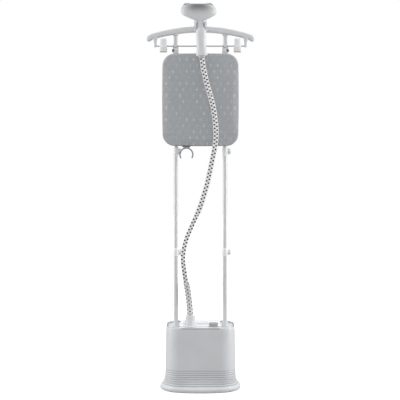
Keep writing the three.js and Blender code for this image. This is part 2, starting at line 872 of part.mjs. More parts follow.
/** One jaw of a garment clip about the rail's line. `face` is -1 at the front, 1 at the back. */
function clipJaw(face, knuckles) {
  const plate = sideways(
    outline(
      [
        [3.8, -CLIP_BELOW],
        [0.4, -CLIP_BELOW],
        [0.4, -CLIP_BELOW + 6],
        [5.8, -8],
        [5.8, 6],
        [9.5, CLIP_ABOVE],
        [12.5, CLIP_ABOVE],
        [8.8, 6],
        [8.8, -8],
      ].map(([y, z]) => [face * y, z]),
    ),
    -CLIP_LOW_WIDE / 2,
    CLIP_LOW_WIDE / 2,
  );
  const top = CLIP_TOP_WIDE / 2;
  const low = CLIP_LOW_WIDE / 2;
  const rounded = standing(
    outline([
      [-low + 4, -CLIP_BELOW - 1],
      [low - 4, -CLIP_BELOW - 1],
      [low, -CLIP_BELOW + 4],
      [low, -8],
      [top, 2],
      [top, CLIP_ABOVE - 5],
      [top - 4, CLIP_ABOVE + 1],
      [-top + 4, CLIP_ABOVE + 1],
      [-top, CLIP_ABOVE - 5],
      [-top, 2],
      [-low, -8],
      [-low, -CLIP_BELOW + 4],
    ]),
    -20,
    20,
  );
  const bore = rodX(RAIL_R + TUBE_FIT, -20, 20, [0, 0], 12);
  const rings = knuckles.map(([x0, x1]) =>
    join(
      rodX(KNUCKLE_R, x0, x1, [0, 0], 12),
      box([x0, Math.min(0, face * 7), -4], [x1, Math.max(0, face * 7), 4]),
    ),
  );
  return cut(join(common(plate, rounded), ...rings), bore);
}

function makeClips() {
  bothSides((side, sign) => {
    const place = (jaw) => jaw.translate(sign * CLIP_X, RAIL_Y, RAIL_Z);
    piece(`clip_back_${side}`, place(clipJaw(1, [[-12.5, -6.5], [6.5, 12.5]])), LIGHT);
    piece(`clip_front_${side}`, place(clipJaw(-1, [[-6, 6]])), WHITE);
  });
}

// ---------------------------------------------------------------- pressing board

/** The board's outline in X and Z, moved outwards by `offset`. */
function boardOutline(offset) {
  const halfX = BOARD_HALF_X - BOARD_BULGE + offset;
  const halfZ = (BOARD_HIGH - BOARD_LOW) / 2 - BOARD_BULGE + offset;
  const middle = (BOARD_HIGH + BOARD_LOW) / 2;
  const points = roundCorners(halfX, halfZ, BOARD_CORNER + offset, 6);
  const mids = [[0, halfZ], [-halfX, 0], [0, -halfZ], [halfX, 0]];
  const bulged = mids.map(([x, z]) => [
    x + Math.sign(x) * BOARD_BULGE,
    z + Math.sign(z) * BOARD_BULGE,
  ]);
  const withBulges = bulged.flatMap((mid, corner) => [
    ...points.slice(corner * 7, corner * 7 + 7),
    mid,
  ]);
  return outline(withBulges.map(([x, z]) => [x, middle + z]));
}

function makeBoard() {
  const panelFront = PANEL_BACK - PANEL_THICK;
  piece("board_panel", standing(boardOutline(0), panelFront, PANEL_BACK), DARK);
  piece(
    "board_pad",
    standing(boardOutline(-PAD_OVERLAP), panelFront - PAD_THICK, panelFront - GAP),
    FABRIC,
  );

  bothSides((side, sign) => {
    const ring = rod(UPPER_R + 4.4, BRACKET_HIGH - 22, BRACKET_HIGH).translate(
      sign * POLE_X,
      POLE_Y,
      0,
    );
    const tongue = box(
      [sign * POLE_X - 8, PANEL_BACK + GAP, BRACKET_LOW],
      [sign * POLE_X + 8, POLE_Y - UPPER_R - 1, BRACKET_HIGH],
    );
    const bulge = rodY(7, PANEL_BACK + GAP, POLE_Y, [sign * (POLE_X + 9), BRACKET_HIGH - 11], 12);
    piece(
      `board_bracket_${side}`,
      cut(
        join(ring, tongue, bulge),
        hole(UPPER_R + GAP, sign * POLE_X, POLE_Y, BRACKET_LOW - 1, BRACKET_HIGH + 1),
      ),
      DARK,
    );
  });

  const from = THREE.MathUtils.degToRad(-37);
  const to = Math.PI - from;
  const arc = new THREE.Shape();
  arc.absarc(RING_X, RING_Z, RING_OUTER, from, to, false);
  arc.absarc(RING_X, RING_Z, RING_INNER, to, from, true);
  const ringY = panelFront - 2;
  const collar = BOARD_LOW - GAP;
  const seat = standing(
    outline([
      [RING_X - 12, RING_Z + RING_OUTER - 4],
      [RING_X + 12, RING_Z + RING_OUTER - 4],
      [RING_X + 20, collar],
      [RING_X - 20, collar],
    ]),
    ringY - RING_DEEP / 2,
    PANEL_BACK + 4,
  );
  const tongue = box(
    [RING_X - 14, PANEL_BACK + GAP, collar - 6],
    [RING_X + 14, PANEL_BACK + 4, BOARD_LOW + 26],
  );
  piece(
    "accessory_clip",
    join(standing(arc, ringY - RING_DEEP / 2, ringY + RING_DEEP / 2, 18), seat, tongue),
    GREY,
  );
}

// ---------------------------------------------------------------- handset and its cradle

/** A section of the handset: an oval that is a little square. */
function squaredOval(halfX, front, back, sides = 24) {
  const centre = (front + back) / 2;
  const halfY = (back - front) / 2;
  const power = 2 / 2.5;
  return Array.from({ length: sides }, (_, i) => {
    const angle = (i * 2 * Math.PI) / sides;
    const c = Math.cos(angle);
    const s = Math.sin(angle);
    return [
      halfX * Math.sign(c) * Math.abs(c) ** power,
      centre + halfY * Math.sign(s) * Math.abs(s) ** power,
    ];
  });
}

/** A thick slab parallel to the steam face, from n0 to n1 along the face's outward normal. */
const faceSlab = (n0, n1) =>
  box([-120, n0, -120], [120, n1, 120]).rotateX(FACE_TILT).translate(0, FACE_Y, FACE_Z);

function makeHandset() {
  const group = new THREE.Group();
  group.position.set(HANDSET_X, HANDSET_Y, HANDSET_Z);
  group.rotation.y = HANDSET_LEAN;
  steamer.add(group);

  const whole = lofted(
    HANDSET_SECTIONS.map(([z, halfX, front, back]) => ({
      z,
      points: squaredOval(halfX, front, back),
    })),
  );
  const channel = rod(CHANNEL_R, -1, 186);
  const body = cut(whole, faceSlab(0, 200), channel);
  const seam = GAP / 2;
  const far = 300;
  piece("handset_front", common(body, box([-far, -far, -far], [far, -seam, far])), LIGHT, group);
  piece("handset_rear", common(body, box([-far, seam, -far], [far, far, far])), LIGHT, group);

  const face = common(whole, faceSlab(GAP, GAP + FACE_THICK));
  const ports = [-48, -32, -16, 0, 16, 32, 48].map((x) =>
    rodY(2.2, -20, 20, [0, 0], 6).rotateX(FACE_TILT).translate(x, FACE_Y, FACE_Z),
  );
  piece("steam_plate", cut(face, ...ports), SILVER, group);

  piece("steam_pipe", pipe(PIPE_R, PIPE_R - 1.5, CUFF_LENGTH + 1, 184, 12), BLACK, group);
  piece(
    "hose_cuff",
    turned([
      [0, -CUFF_LENGTH],
      [13, -CUFF_LENGTH],
      [15, -2],
      [15, -GAP],
      [CHANNEL_R - TUBE_FIT, -GAP],
      [CHANNEL_R - TUBE_FIT, CUFF_LENGTH],
      [0, CUFF_LENGTH],
    ]),
    LIGHT,
    group,
  );
}

function makeCradle() {
  const barFront = POLE_Y - HANGER_DEEP / 2 - GAP;
  const arm = (sign) =>
    box(
      [Math.min(sign * FORK_INNER, sign * (FORK_INNER + FORK_WALL)), FORK_FRONT, FORK_LOW],
      [Math.max(sign * FORK_INNER, sign * (FORK_INNER + FORK_WALL)), barFront, FORK_HIGH],
    );
  const wide = FORK_INNER + FORK_WALL;
  piece(
    "handset_cradle",
    join(arm(-1), arm(1), box([-wide, barFront - 5, FORK_LOW - 12], [wide, barFront, FORK_HIGH])),
    WHITE,
  );
}

// ---------------------------------------------------------------- steam hose

function makeHose() {
  const curve = new THREE.CatmullRomCurve3(
    HOSE_POINTS.map((point) => new THREE.Vector3(...point)),
    false,
    "centripetal",
  );
  curve.arcLengthDivisions = 800;
  const length = curve.getLength();
  const shareAt = (z) => {
    let low = 0;
    let high = 1;
    for (let i = 0; i < 40; i += 1) {
      const middle = (low + high) / 2;
      if (curve.getPointAt(middle).z < z) low = middle;
      else high = middle;
    }
    return (low + high) / 2;
  };
  const half = GAP / length;
  const marks = [SLEEVE_END_Z, LOWER_HOSE_END_Z, MIDDLE_HOSE_END_Z].map(shareAt);
  const [sleeveEnd, lowerEnd, middleEnd] = marks;
  const stretch = (name, radius, u0, u1) => {
    const steps = Math.ceil(((u1 - u0) * length) / 26);
    piece(name, cord(curve, radius, u0, u1, steps), WOVEN);
  };
  stretch("hose_sleeve", SLEEVE_R, 0, sleeveEnd - half);
  stretch("hose_lower", HOSE_R, sleeveEnd + half, lowerEnd - half);
  stretch("hose_middle", HOSE_R, lowerEnd + half, middleEnd - half);
  stretch("hose_top", HOSE_R, middleEnd + half, 1);
}

makeHousing();
makeDeck();
makeTankWell();
makeTank();
makeBoiler();
makeControls();
makeHoseConnector();
makePoles();
makeHanger();
makeClips();
makeBoard();
makeHandset();
makeCradle();
makeHose();

export default steamer;
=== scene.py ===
"""The looks of an upright garment steamer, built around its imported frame.

A base with a boiler and a lift-out tank stands on the floor. Two telescoping poles carry a
hanger bar with a clip rail, a padded pressing board and a cradle for the steam handset, which a
braided hose joins to the base. Sizes in the classes are millimetres in the row frame; a mesh
becomes metres when it is built.
"""

import json
import logging
import math
from collections.abc import Callable, Sequence
from dataclasses import dataclass
from enum import Enum

import bmesh
import bpy
import numpy as np
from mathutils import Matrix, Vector

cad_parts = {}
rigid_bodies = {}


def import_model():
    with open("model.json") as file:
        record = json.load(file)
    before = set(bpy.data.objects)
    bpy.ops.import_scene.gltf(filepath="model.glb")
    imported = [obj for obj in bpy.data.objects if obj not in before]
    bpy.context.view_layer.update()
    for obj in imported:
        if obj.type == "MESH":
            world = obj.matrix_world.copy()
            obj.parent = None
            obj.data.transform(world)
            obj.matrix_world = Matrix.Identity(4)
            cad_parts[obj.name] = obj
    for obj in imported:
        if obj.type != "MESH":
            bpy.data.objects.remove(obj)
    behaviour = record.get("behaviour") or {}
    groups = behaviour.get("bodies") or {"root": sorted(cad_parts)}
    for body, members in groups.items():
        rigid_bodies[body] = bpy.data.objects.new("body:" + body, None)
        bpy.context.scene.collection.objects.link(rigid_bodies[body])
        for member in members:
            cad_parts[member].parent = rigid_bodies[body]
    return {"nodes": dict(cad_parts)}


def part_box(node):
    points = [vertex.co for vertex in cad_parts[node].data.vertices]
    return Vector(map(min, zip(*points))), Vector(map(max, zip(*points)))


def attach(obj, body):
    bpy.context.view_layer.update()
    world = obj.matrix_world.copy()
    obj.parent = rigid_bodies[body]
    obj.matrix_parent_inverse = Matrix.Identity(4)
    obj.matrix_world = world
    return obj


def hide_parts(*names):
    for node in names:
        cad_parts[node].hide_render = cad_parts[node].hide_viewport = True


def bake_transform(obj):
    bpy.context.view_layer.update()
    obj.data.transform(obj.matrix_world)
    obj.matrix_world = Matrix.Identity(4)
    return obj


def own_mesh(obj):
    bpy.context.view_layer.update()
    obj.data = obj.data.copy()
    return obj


for leftover in list(bpy.data.objects):
    bpy.data.objects.remove(leftover)

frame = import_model()

MM = 0.001
LOG = logging.getLogger("steamer")

POLE_X, POLE_Y = 103.5, -40.0
POLE_RADII = {"lower": 11.0, "middle": 9.5, "upper": 8.0}
SOCKET_RADIUS = 8.3
RAIL_Y, RAIL_Z, RAIL_RADIUS = -51.4, 1444.0, 2.5

Point = Sequence[float]
Outline = Callable[[float], np.ndarray]


# ---------------------------------------------------------------- shader maths


class Wire:
    """A socket that gives a value, with maths written as Python expressions."""

    def __init__(self, recipe: "Recipe", socket: bpy.types.NodeSocket | None) -> None:
        """Keeps the recipe that owns the socket."""
        self.recipe = recipe
        self.socket = socket

    def _join(self, operation: str, first: object, second: object) -> "Wire":
        """Adds a Math node, or a Vector Math node where this wire is a vector.

        Args:
            operation: The node's operation.
            first: A wire or a number.
            second: A wire or a number.

        Returns:
            The node's result.
        """
        kind = "ShaderNodeMath" if self.socket.type == "VALUE" else "ShaderNodeVectorMath"
        return self.recipe.node(kind, {"operation": operation}, {0: first, 1: second})

    def __add__(self, other: object) -> "Wire":
        """This and another."""
        return self._join("ADD", self, other)

    __radd__ = __add__

    def __sub__(self, other: object) -> "Wire":
        """This less another."""
        return self._join("SUBTRACT", self, other)

    def __rsub__(self, other: object) -> "Wire":
        """Another less this."""
        return self._join("SUBTRACT", other, self)

    def __mul__(self, other: object) -> "Wire":
        """This times another."""
        return self._join("MULTIPLY", self, other)

    __rmul__ = __mul__

    def __truediv__(self, other: object) -> "Wire":
        """This over another."""
        return self._join("DIVIDE", self, other)

    def __rtruediv__(self, other: object) -> "Wire":
        """Another over this."""
        return self._join("DIVIDE", other, self)

    def __pow__(self, other: object) -> "Wire":
        """This to a power."""
        return self._join("POWER", self, other)

    def __mod__(self, other: object) -> "Wire":
        """What is left of this after whole steps of another."""
        return self._join("FLOORED_MODULO", self, other)

    def __abs__(self) -> "Wire":
        """This without its sign."""
        return self.recipe.node("ShaderNodeMath", {"operation": "ABSOLUTE"}, {0: self})

    def plain(self, operation: str) -> "Wire":
        """A Math node of one value, such as SINE or FLOOR."""
        return self.recipe.node("ShaderNodeMath", {"operation": operation}, {0: self})

    def spread(self, low: float, high: float, to_low: float = 0.0, to_high: float = 1.0) -> "Wire":
        """This, mapped smoothly from one span to another.

        Args:
            low: Where the span starts.
            high: Where it ends.
            to_low: The result at its start.
            to_high: The result at its end.

        Returns:
            The mapped value.
        """
        return self.recipe.node(
            "ShaderNodeMapRange",
            {"interpolation_type": "SMOOTHSTEP"},
            {"Value": self, "From Min": low, "From Max": high, "To Min": to_low, "To Max": to_high},
        )


class Recipe:
    """A node tree in the making, for a material or the world."""

    def __init__(self, tree: bpy.types.NodeTree) -> None:
        """Starts from an empty tree."""
        self.tree = tree
        self.tree.nodes.clear()

    def node(
        self,
        kind: str,
        settings: dict[str, object] | None = None,
        inputs: dict[int | str, object] | None = None,
        output: int | str = 0,
    ) -> Wire:
        """Adds a node.

        Args:
            kind: The node's type.
            settings: Its own settings, set first; "stops" are a ramp's places and colours.
            inputs: The values or the wires of its sockets.
            output: The socket whose result is wanted.

        Returns:
            That socket.
        """
        made = self.tree.nodes.new(kind)
        for key, value in (settings or {}).items():
            if key == "stops":
                ramp = made.color_ramp
                for place, shade in value[len(ramp.elements) :]:
                    ramp.elements.new(place)
                for element, (place, shade) in zip(ramp.elements, value):
                    element.position, element.color = place, (*shade, 1)
            else:
                setattr(made, key, value)
        for key, value in (inputs or {}).items():
            if isinstance(value, Wire):
                self.tree.links.new(value.socket, made.inputs[key])
            else:
                made.inputs[key].default_value = value
        return Wire(self, made.outputs[output] if len(made.outputs) else None)

    def place(self) -> tuple[Wire, Wire, Wire, Wire]:
        """Adds the nodes that say where on the piece a point is.

        Returns:
            The point, and its X, Y and Z, in metres.
        """
        whole = self.node("ShaderNodeTexCoord", output="Object")
        parts = [
            self.node("ShaderNodeSeparateXYZ", inputs={0: whole}, output=axis) for axis in "XYZ"
        ]
        return whole, *parts

    def noise(
        self, where: Wire, scale: float, detail: float = 2.0, stretch: Point = (1, 1, 1)
    ) -> Wire:
        """A cloudy value from 0 to 1.

        Args:
            where: The point.
            scale: How many clouds there are in a metre.
            detail: How many finer layers it has.
            stretch: A further scale along each axis.

        Returns:
            The value.
        """
        if tuple(stretch) != (1, 1, 1):
            where = self.node(
                "ShaderNodeVectorMath", {"operation": "MULTIPLY"}, {0: where, 1: tuple(stretch)}
            )
        return self.node(
            "ShaderNodeTexNoise", None, {"Vector": where, "Scale": scale, "Detail": detail}
        )

    def mix(self, share: object, first: object, second: object) -> Wire:
        """A colour between two.

        Args:
            share: How much of the second there is.
            first: A wire or a colour.
            second: A wire or a colour.

        Returns:
            The mixed colour.
        """
        return self.node(
            "ShaderNodeMix",
            {"data_type": "RGBA"},
            {"Factor": share, 6: _rgba(first), 7: _rgba(second)},
            2,
        )

    def bump(self, height: Wire, strength: float, distance: float) -> Wire:
        """A surface normal from a height.

        Args:
            height: The height, from 0 to 1.
            strength: How much of it shows.
            distance: What a height of 1 is, in metres.

        Returns:
            The normal.
        """
        return self.node(
            "ShaderNodeBump", None, {"Height": height, "Strength": strength, "Distance": distance}
        )


def _rgba(value: object) -> object:
    """A colour with its alpha, or the wire as it is."""
    return value if isinstance(value, Wire) else (*value, 1)


def linear(level: float, warmth: float = 0.0) -> tuple[float, float, float]:
    """A near-neutral colour from its screen level.

    Args:
        level: From 0 to 255, as a screen shows it.
        warmth: How far red stands above blue, on the same scale.

    Returns:
        The colour as the shader takes it.
    """
    shades = [(level + shift * warmth / 2) / 255 for shift in (1, 0, -1)]
    return tuple(s / 12.92 if s <= 0.04045 else ((s + 0.055) / 1.055) ** 2.4 for s in shades)


def dimmed(colour: Point, share: float) -> tuple[float, ...]:
    """A colour times a share."""
    return tuple(c * share for c in colour)


# ---------------------------------------------------------------- finishes


class Finish:
    """A finish that makes its material once and hands it out after that."""

    name: str
    _made: dict[str, bpy.types.Material] = {}

    def material(self) -> bpy.types.Material:
        """Makes the finish's material when it is first wanted.

        Returns:
            The material.
        """
        if self.name not in Finish._made:
            made = bpy.data.materials.new(self.name)
            made.use_nodes = True
            recipe = Recipe(made.node_tree)
            shader = self.mixed(recipe)
            recipe.node("ShaderNodeOutputMaterial", None, {"Surface": shader})
            Finish._made[self.name] = made
        return Finish._made[self.name]

    def mixed(self, recipe: Recipe) -> Wire:
        """The finish's shader.

        Args:
            recipe: The material's tree.

        Returns:
            The shader.
        """
        raise NotImplementedError


def principled(recipe: Recipe, **inputs: object) -> Wire:
    """The main shader, with its sockets named in plain words.

    Args:
        recipe: The tree.
        **inputs: Socket names with spaces as underscores, and what they hold.

    Returns:
        The shader.
    """
    names = {key.replace("_", " ").title().replace("Ior", "IOR"): v for key, v in inputs.items()}
    return recipe.node("ShaderNodeBsdfPrincipled", None, names)


@dataclass(frozen=True)
class MouldedPlastic(Finish):
    """Moulded plastic: a fine grain, a slight cloud in its colour and rubbed patches in its gloss.

    Dust is how much of it lies near the floor. The painted groove shade holds the first height,
    the pitch and the count of the moulded grooves, along which a darker line of painted shade lies.
    """

    name: str
    level: float
    warmth: float = -4.0
    roughness: float = 0.4
    grain: float = 0.25
    coat: float = 0.0
    cloud: float = 0.04
    dust: float = 0.0
    bands: tuple[float, float, int] | None = None

    def mixed(self, recipe: Recipe) -> Wire:
        """The finish's shader.

        Args:
            recipe: The material's tree.

        Returns:
            The shader.
        """
        where, _, _, up = recipe.place()
        cloud = recipe.noise(where, 9, 4)
        specks = recipe.noise(where, 900, 1)
        worn = recipe.noise(where, 60, 5)
        colour = linear(self.level, self.warmth)
        darker = dimmed(colour, 1 - 2.2 * self.cloud)
        shade = recipe.mix(cloud.spread(0.3, 0.7) * 0.6 + specks * 0.25, colour, darker)
        if self.dust:
            low = up.spread(0.0, 0.05, self.dust, 0.0) * worn.spread(0.35, 0.7)
            shade = recipe.mix(low, shade, linear(150, 8))
        # Painted shade: a darker line along each moulded groove, where shade falls in it.
        if self.bands:
            first, pitch, count = self.bands
            beside = abs(((up - first) / pitch + 0.5) % 1.0 - 0.5)
            reach = pitch * count / 2
            middle = first + pitch * (count - 1) / 2
            inside = abs(up - middle).spread(reach - 0.001, reach, 1.0, 0.0)
            shade = recipe.mix(
                beside.spread(0.06, 0.26, 0.7, 0.0) * inside, shade, dimmed(colour, 0.55)
            )
        gloss = self.roughness + worn.spread(0.35, 0.75) * 0.1 + specks * 0.04
        relief = recipe.noise(where, 2600, 2) * 0.7 + recipe.noise(where, 500, 2) * 0.3
        return principled(
            recipe,
            base_color=shade,
            roughness=gloss,
            coat_weight=self.coat,
            coat_roughness=0.12,
            specular_ior_level=0.5,
            normal=recipe.bump(relief, self.grain, 0.0002),
        )


@dataclass(frozen=True)
class HeadPlastic(Finish):
    """The handset's satin plastic, darkened towards the head's top by painted shade that stands in
    for a dark reflection, with a dark seam by the plate.
    """

    name: str
    level: float
    smoke: float
    start: float = 1.562
    seam: float = 1.6115

    def mixed(self, recipe: Recipe) -> Wire:
        """The finish's shader.

        Args:
            recipe: The material's tree.

        Returns:
            The shader.
        """
        where, across, _, up = recipe.place()
        cloud = recipe.noise(where, 9, 4)
        worn = recipe.noise(where, 60, 5)
        grain = recipe.noise(where, 1800, 2)
        colour = linear(self.level, -4)
        shade = recipe.mix(cloud.spread(0.3, 0.7) * 0.5, colour, dimmed(colour, 0.93))
        below = up.spread(self.seam + 0.0005, self.seam + 0.0015, 1.0, 0.0)
        middle = abs(across + 0.008).spread(0.012, 0.078, 1.0, 0.22)
        # Painted shade: darker towards the head's top middle, standing in for the dark reflection
        # seen there.
        smoke = up.spread(self.start, self.seam) * middle * below
        shade = recipe.mix(smoke, shade, linear(self.smoke, -1))
        line = abs(up - self.seam).spread(0.0012, 0.0022, 0.85, 0.0)
        shade = recipe.mix(line, shade, linear(84))
        return principled(
            recipe,
            base_color=shade,
            roughness=0.32 + worn.spread(0.35, 0.75) * 0.12,
            coat_weight=0.15,
            coat_roughness=0.12,
            normal=recipe.bump(grain, 0.2, 0.0002),
        )


@dataclass(frozen=True)
class DrawnTube(Finish):
    """Drawn metal: streaks along the tube, fine scratches and a satin gloss."""

    name: str
    level: float
    roughness: float = 0.3
    streak: Point = (260, 260, 3)
    shine: float = 0.9

    def mixed(self, recipe: Recipe) -> Wire:
        """The finish's shader.

        Args:
            recipe: The material's tree.

        Returns:
            The shader.
        """
        where, _, _, _ = recipe.place()
        streaks = recipe.noise(where, 4, 3, self.streak)
        cloud = recipe.noise(where, 14, 4)
        scratch = recipe.noise(where, 8, 2, [s * 2.5 for s in self.streak]).spread(0.62, 0.72)
        colour = linear(self.level, -2)
        shade = recipe.mix(streaks * 0.5 + cloud * 0.3, colour, dimmed(colour, 0.82))
        return principled(
            recipe,
            base_color=shade,
            metallic=self.shine,
            roughness=self.roughness + streaks.spread(0.3, 0.7) * 0.12 + scratch * 0.12,
            normal=recipe.bump(streaks + scratch * 0.3, 0.12, 0.0001),
        )


@dataclass(frozen=True)
class CastMetal(Finish):
    """Cast metal: a pitted skin with darker hollows."""

    name: str
    level: float

    def mixed(self, recipe: Recipe) -> Wire:
        """The finish's shader.

        Args:
            recipe: The material's tree.

        Returns:
            The shader.
        """
        where, _, _, _ = recipe.place()
        pits = recipe.noise(where, 260, 5)
        stain = recipe.noise(where, 24, 5)
        colour = linear(self.level, 2)
        return principled(
            recipe,
            base_color=recipe.mix(stain.spread(0.3, 0.7), colour, dimmed(colour, 0.6)),
            metallic=0.75,
            roughness=0.5 + pits * 0.25,
            normal=recipe.bump(pits, 0.5, 0.0006),
        )


@dataclass(frozen=True)
class SoftRubber(Finish):
    """Rubber: matt and black, greyed where it is rubbed."""

    name: str
    level: float

    def mixed(self, recipe: Recipe) -> Wire:
        """The finish's shader.

        Args:
            recipe: The material's tree.

        Returns:
            The shader.
        """
        where, _, _, _ = recipe.place()
        bloom = recipe.noise(where, 80, 5)
        fine = recipe.noise(where, 1500, 2)
        colour = linear(self.level)
        return principled(
            recipe,
            base_color=recipe.mix(bloom.spread(0.45, 0.8), colour, dimmed(colour, 2.2)),
            roughness=0.7 + bloom * 0.2,
            normal=recipe.bump(fine, 0.3, 0.0003),
        )


@dataclass(frozen=True)
class ClearTank(Finish):
    """Clear blue-grey plastic that lets light through, hazed by water marks."""

    name: str
    level: float

    def mixed(self, recipe: Recipe) -> Wire:
        """The finish's shader.

        Args:
            recipe: The material's tree.

        Returns:
            The shader.
        """
        where, _, _, up = recipe.place()
        haze = recipe.noise(where, 40, 5, (1, 1, 0.3))
        tide = recipe.noise(where, 8, 2)
        line = abs((up + tide * 0.004) - 0.2).spread(0.0, 0.0015, 1.0, 0.0)
        return principled(
            recipe,
            base_color=recipe.mix(
                haze * 0.5, linear(self.level, -14), linear(self.level - 40, -14)
            ),
            roughness=0.12 + haze * 0.2,
            alpha=0.38 + haze.spread(0.4, 0.8) * 0.16 + line * 0.2,
            specular_ior_level=0.6,
        )


@dataclass(frozen=True)
class BoardCloth(Finish):
    """The pressing board's heathered cloth, printed with pale drops in offset rows."""

    name: str
    level: float
    column: float = 0.0285
    row: float = 0.025
    drop_wide: float = 0.0062
    drop_tall: float = 0.0094
    printed: bool = True

    def mixed(self, recipe: Recipe) -> Wire:
        """The finish's shader.

        Args:
            recipe: The material's tree.

        Returns:
            The shader.
        """
        where, across, _, up = recipe.place()
        fibre = recipe.noise(where, 700, 4, (1, 1, 0.45))
        slub = recipe.noise(where, 90, 4, (0.5, 1, 1.6))
        cloud = recipe.noise(where, 11, 3)
        warp = (across * (2 * math.pi / 0.0011)).plain("SINE")
        weft = (up * (2 * math.pi / 0.0011)).plain("SINE")
        weave = warp * weft * 0.5 + 0.5
        colour = linear(self.level, -7)
        shade = recipe.mix(fibre.spread(0.25, 0.75), dimmed(colour, 0.8), dimmed(colour, 1.2))
        shade = recipe.mix(
            slub.spread(0.3, 0.75) * 0.35 + cloud * 0.12, shade, dimmed(colour, 0.75)
        )
        if self.printed:
            rows = up / self.row
            line = rows.plain("FLOOR")
            columns = across / self.column + (line % 2.0) * 0.5
            cell = recipe.node("ShaderNodeCombineXYZ", None, {0: columns.plain("FLOOR"), 1: line})
            chance = recipe.node(
                "ShaderNodeTexWhiteNoise", {"noise_dimensions": "2D"}, {"Vector": cell}
            )
            aside = abs(columns.plain("FRACT") - 0.5) * self.column
            along = (rows.plain("FRACT") - 0.5) * self.row
            taper = 1.0 - along.spread(-self.drop_tall, self.drop_tall, 0.0, 0.45)
            size = aside / (taper * self.drop_wide) + abs(along) / self.drop_tall
            ink = size.spread(0.5, 1.2, 1.0, 0.0) * chance.spread(0.1, 1.0, 0.15, 1.0)
            ink = ink * (0.55 + fibre.spread(0.3, 0.7) * 0.45)
            shade = recipe.mix(ink, shade, linear(self.level + 30, -5))
        return principled(
            recipe,
            base_color=shade,
            roughness=0.85 + fibre * 0.12,
            sheen_weight=0.25,
            sheen_roughness=0.5,
            specular_ior_level=0.25,
            normal=recipe.bump(weave * 0.6 + fibre * 0.5, 0.55, 0.0004),
        )


@dataclass(frozen=True)
class HoseBraid(Finish):
    """The hose's braid: pale yarn crossing in a net, with dark gaps in offset rows."""

    name: str
    level: float
    gap_level: float
    around: int = 8
    pitch: float = 0.0095
    gap_size: float = 0.62

    def mixed(self, recipe: Recipe) -> Wire:
        """The finish's shader.

        Args:
            recipe: The material's tree.

        Returns:
            The shader.
        """
        flat = recipe.node("ShaderNodeUVMap", {"uv_map": "weave"})
        u = recipe.node("ShaderNodeSeparateXYZ", inputs={0: flat}, output="X")
        v = recipe.node("ShaderNodeSeparateXYZ", inputs={0: flat}, output="Y")
        where, _, _, _ = recipe.place()
        one = u * self.around + v / self.pitch
        other = u * self.around - v / self.pitch
        ridge_one = ((one * math.pi).plain("SINE")) ** 2.0
        ridge_other = ((other * math.pi).plain("SINE")) ** 2.0
        gap = (ridge_one * ridge_other).spread(self.gap_size * 0.55, self.gap_size, 0.0, 1.0)
        yarn_one = (one * (math.pi * 10)).plain("SINE")
        yarn_other = (other * (math.pi * 10)).plain("SINE")
        yarn = (yarn_one * 0.5 + 0.5) * ridge_other + (yarn_other * 0.5 + 0.5) * (1.0 - ridge_other)
        fuzz = recipe.noise(where, 1100, 3)
        soil = recipe.noise(where, 22, 4)
        colour = linear(self.level, 1)
        shade = recipe.mix(fuzz * 0.3 + soil.spread(0.4, 0.8) * 0.15, colour, dimmed(colour, 0.78))
        shade = recipe.mix(yarn.spread(0.0, 0.5, 0.25, 0.0), shade, dimmed(colour, 0.6))
        shade = recipe.mix(gap, shade, linear(self.gap_level))
        return principled(
            recipe,
            base_color=shade,
            roughness=0.78 + fuzz * 0.15,
            sheen_weight=0.15,
            specular_ior_level=0.3,
            normal=recipe.bump(yarn * 0.5 + fuzz * 0.2 - gap * 0.6, 0.7, 0.0006),
        )


HOUSING = MouldedPlastic(
    "housing_plastic", 210, -5, roughness=0.34, coat=0.15, dust=0.08, bands=(0.028, 0.009, 8)
)
GLOSS = MouldedPlastic("white_gloss", 236, -3, roughness=0.16, grain=0.08, coat=0.4, cloud=0.015)
LOCK = MouldedPlastic("lock_white", 240, -1, roughness=0.3, cloud=0.02)
LIGHT = MouldedPlastic("light_plastic", 212, roughness=0.36, coat=0.1)
BAR = MouldedPlastic("bar_plastic", 220, roughness=0.4)
CLIP = MouldedPlastic("clip_plastic", 248, -1, roughness=0.32, cloud=0.02)
GREY = MouldedPlastic("grey_plastic", 165, roughness=0.42)
DARK = MouldedPlastic("dark_plastic", 78, roughness=0.48, cloud=0.08)
BRACKET = MouldedPlastic("bracket_plastic", 112, roughness=0.45, cloud=0.04)
RING = MouldedPlastic("ring_plastic", 150, roughness=0.42)
TUBE = DrawnTube("pole_aluminium", 220, 0.4, shine=0.35)
RAIL = DrawnTube("rail_steel", 190, 0.28, (3, 260, 260))
PLATE = DrawnTube("plate_steel", 215, 0.24, (3, 240, 240))
CAST = CastMetal("cast_aluminium", 170)
RUBBER = SoftRubber("black_rubber", 38)
TANK = ClearTank("clear_plastic", 205)
CLOTH = BoardCloth("board_fabric", 180)
BINDING = BoardCloth("board_binding", 172, printed=False)
BRAID = HoseBraid("hose_cover", 236, 34, around=3, pitch=0.0158, gap_size=0.46)
SLEEVE = HoseBraid("sleeve_cover", 224, 92, around=4, pitch=0.0165, gap_size=0.62)
PIPE = SoftRubber("pipe_rubber", 60)
# The head's third value is the colour of the painted shade at its top.
HEAD = HeadPlastic("head_plastic", 216, 88)


# ---------------------------------------------------------------- meshes


class Side(Enum):
    """The two sides of the steamer, as its user sees them."""

    LEFT = -1
    RIGHT = 1

    @property
    def word(self) -> str:
        """The side's name as the frame writes it."""
        return self.name.lower()


class Axis(Enum):
    """The line that a turned piece is turned about."""

    X = "X"
    Y = "Y"
    Z = "Z"

    def matrix(self) -> np.ndarray:
        """The turn that takes Z to this axis.

        Returns:
            The turn's three rows.
        """
        turns = {
            "X": [[0, 0, 1], [0, 1, 0], [-1, 0, 0]],
            "Y": [[1, 0, 0], [0, 0, 1], [0, -1, 0]],
            "Z": [[1, 0, 0], [0, 1, 0], [0, 0, 1]],
        }
        return np.array(turns[self.value], float)


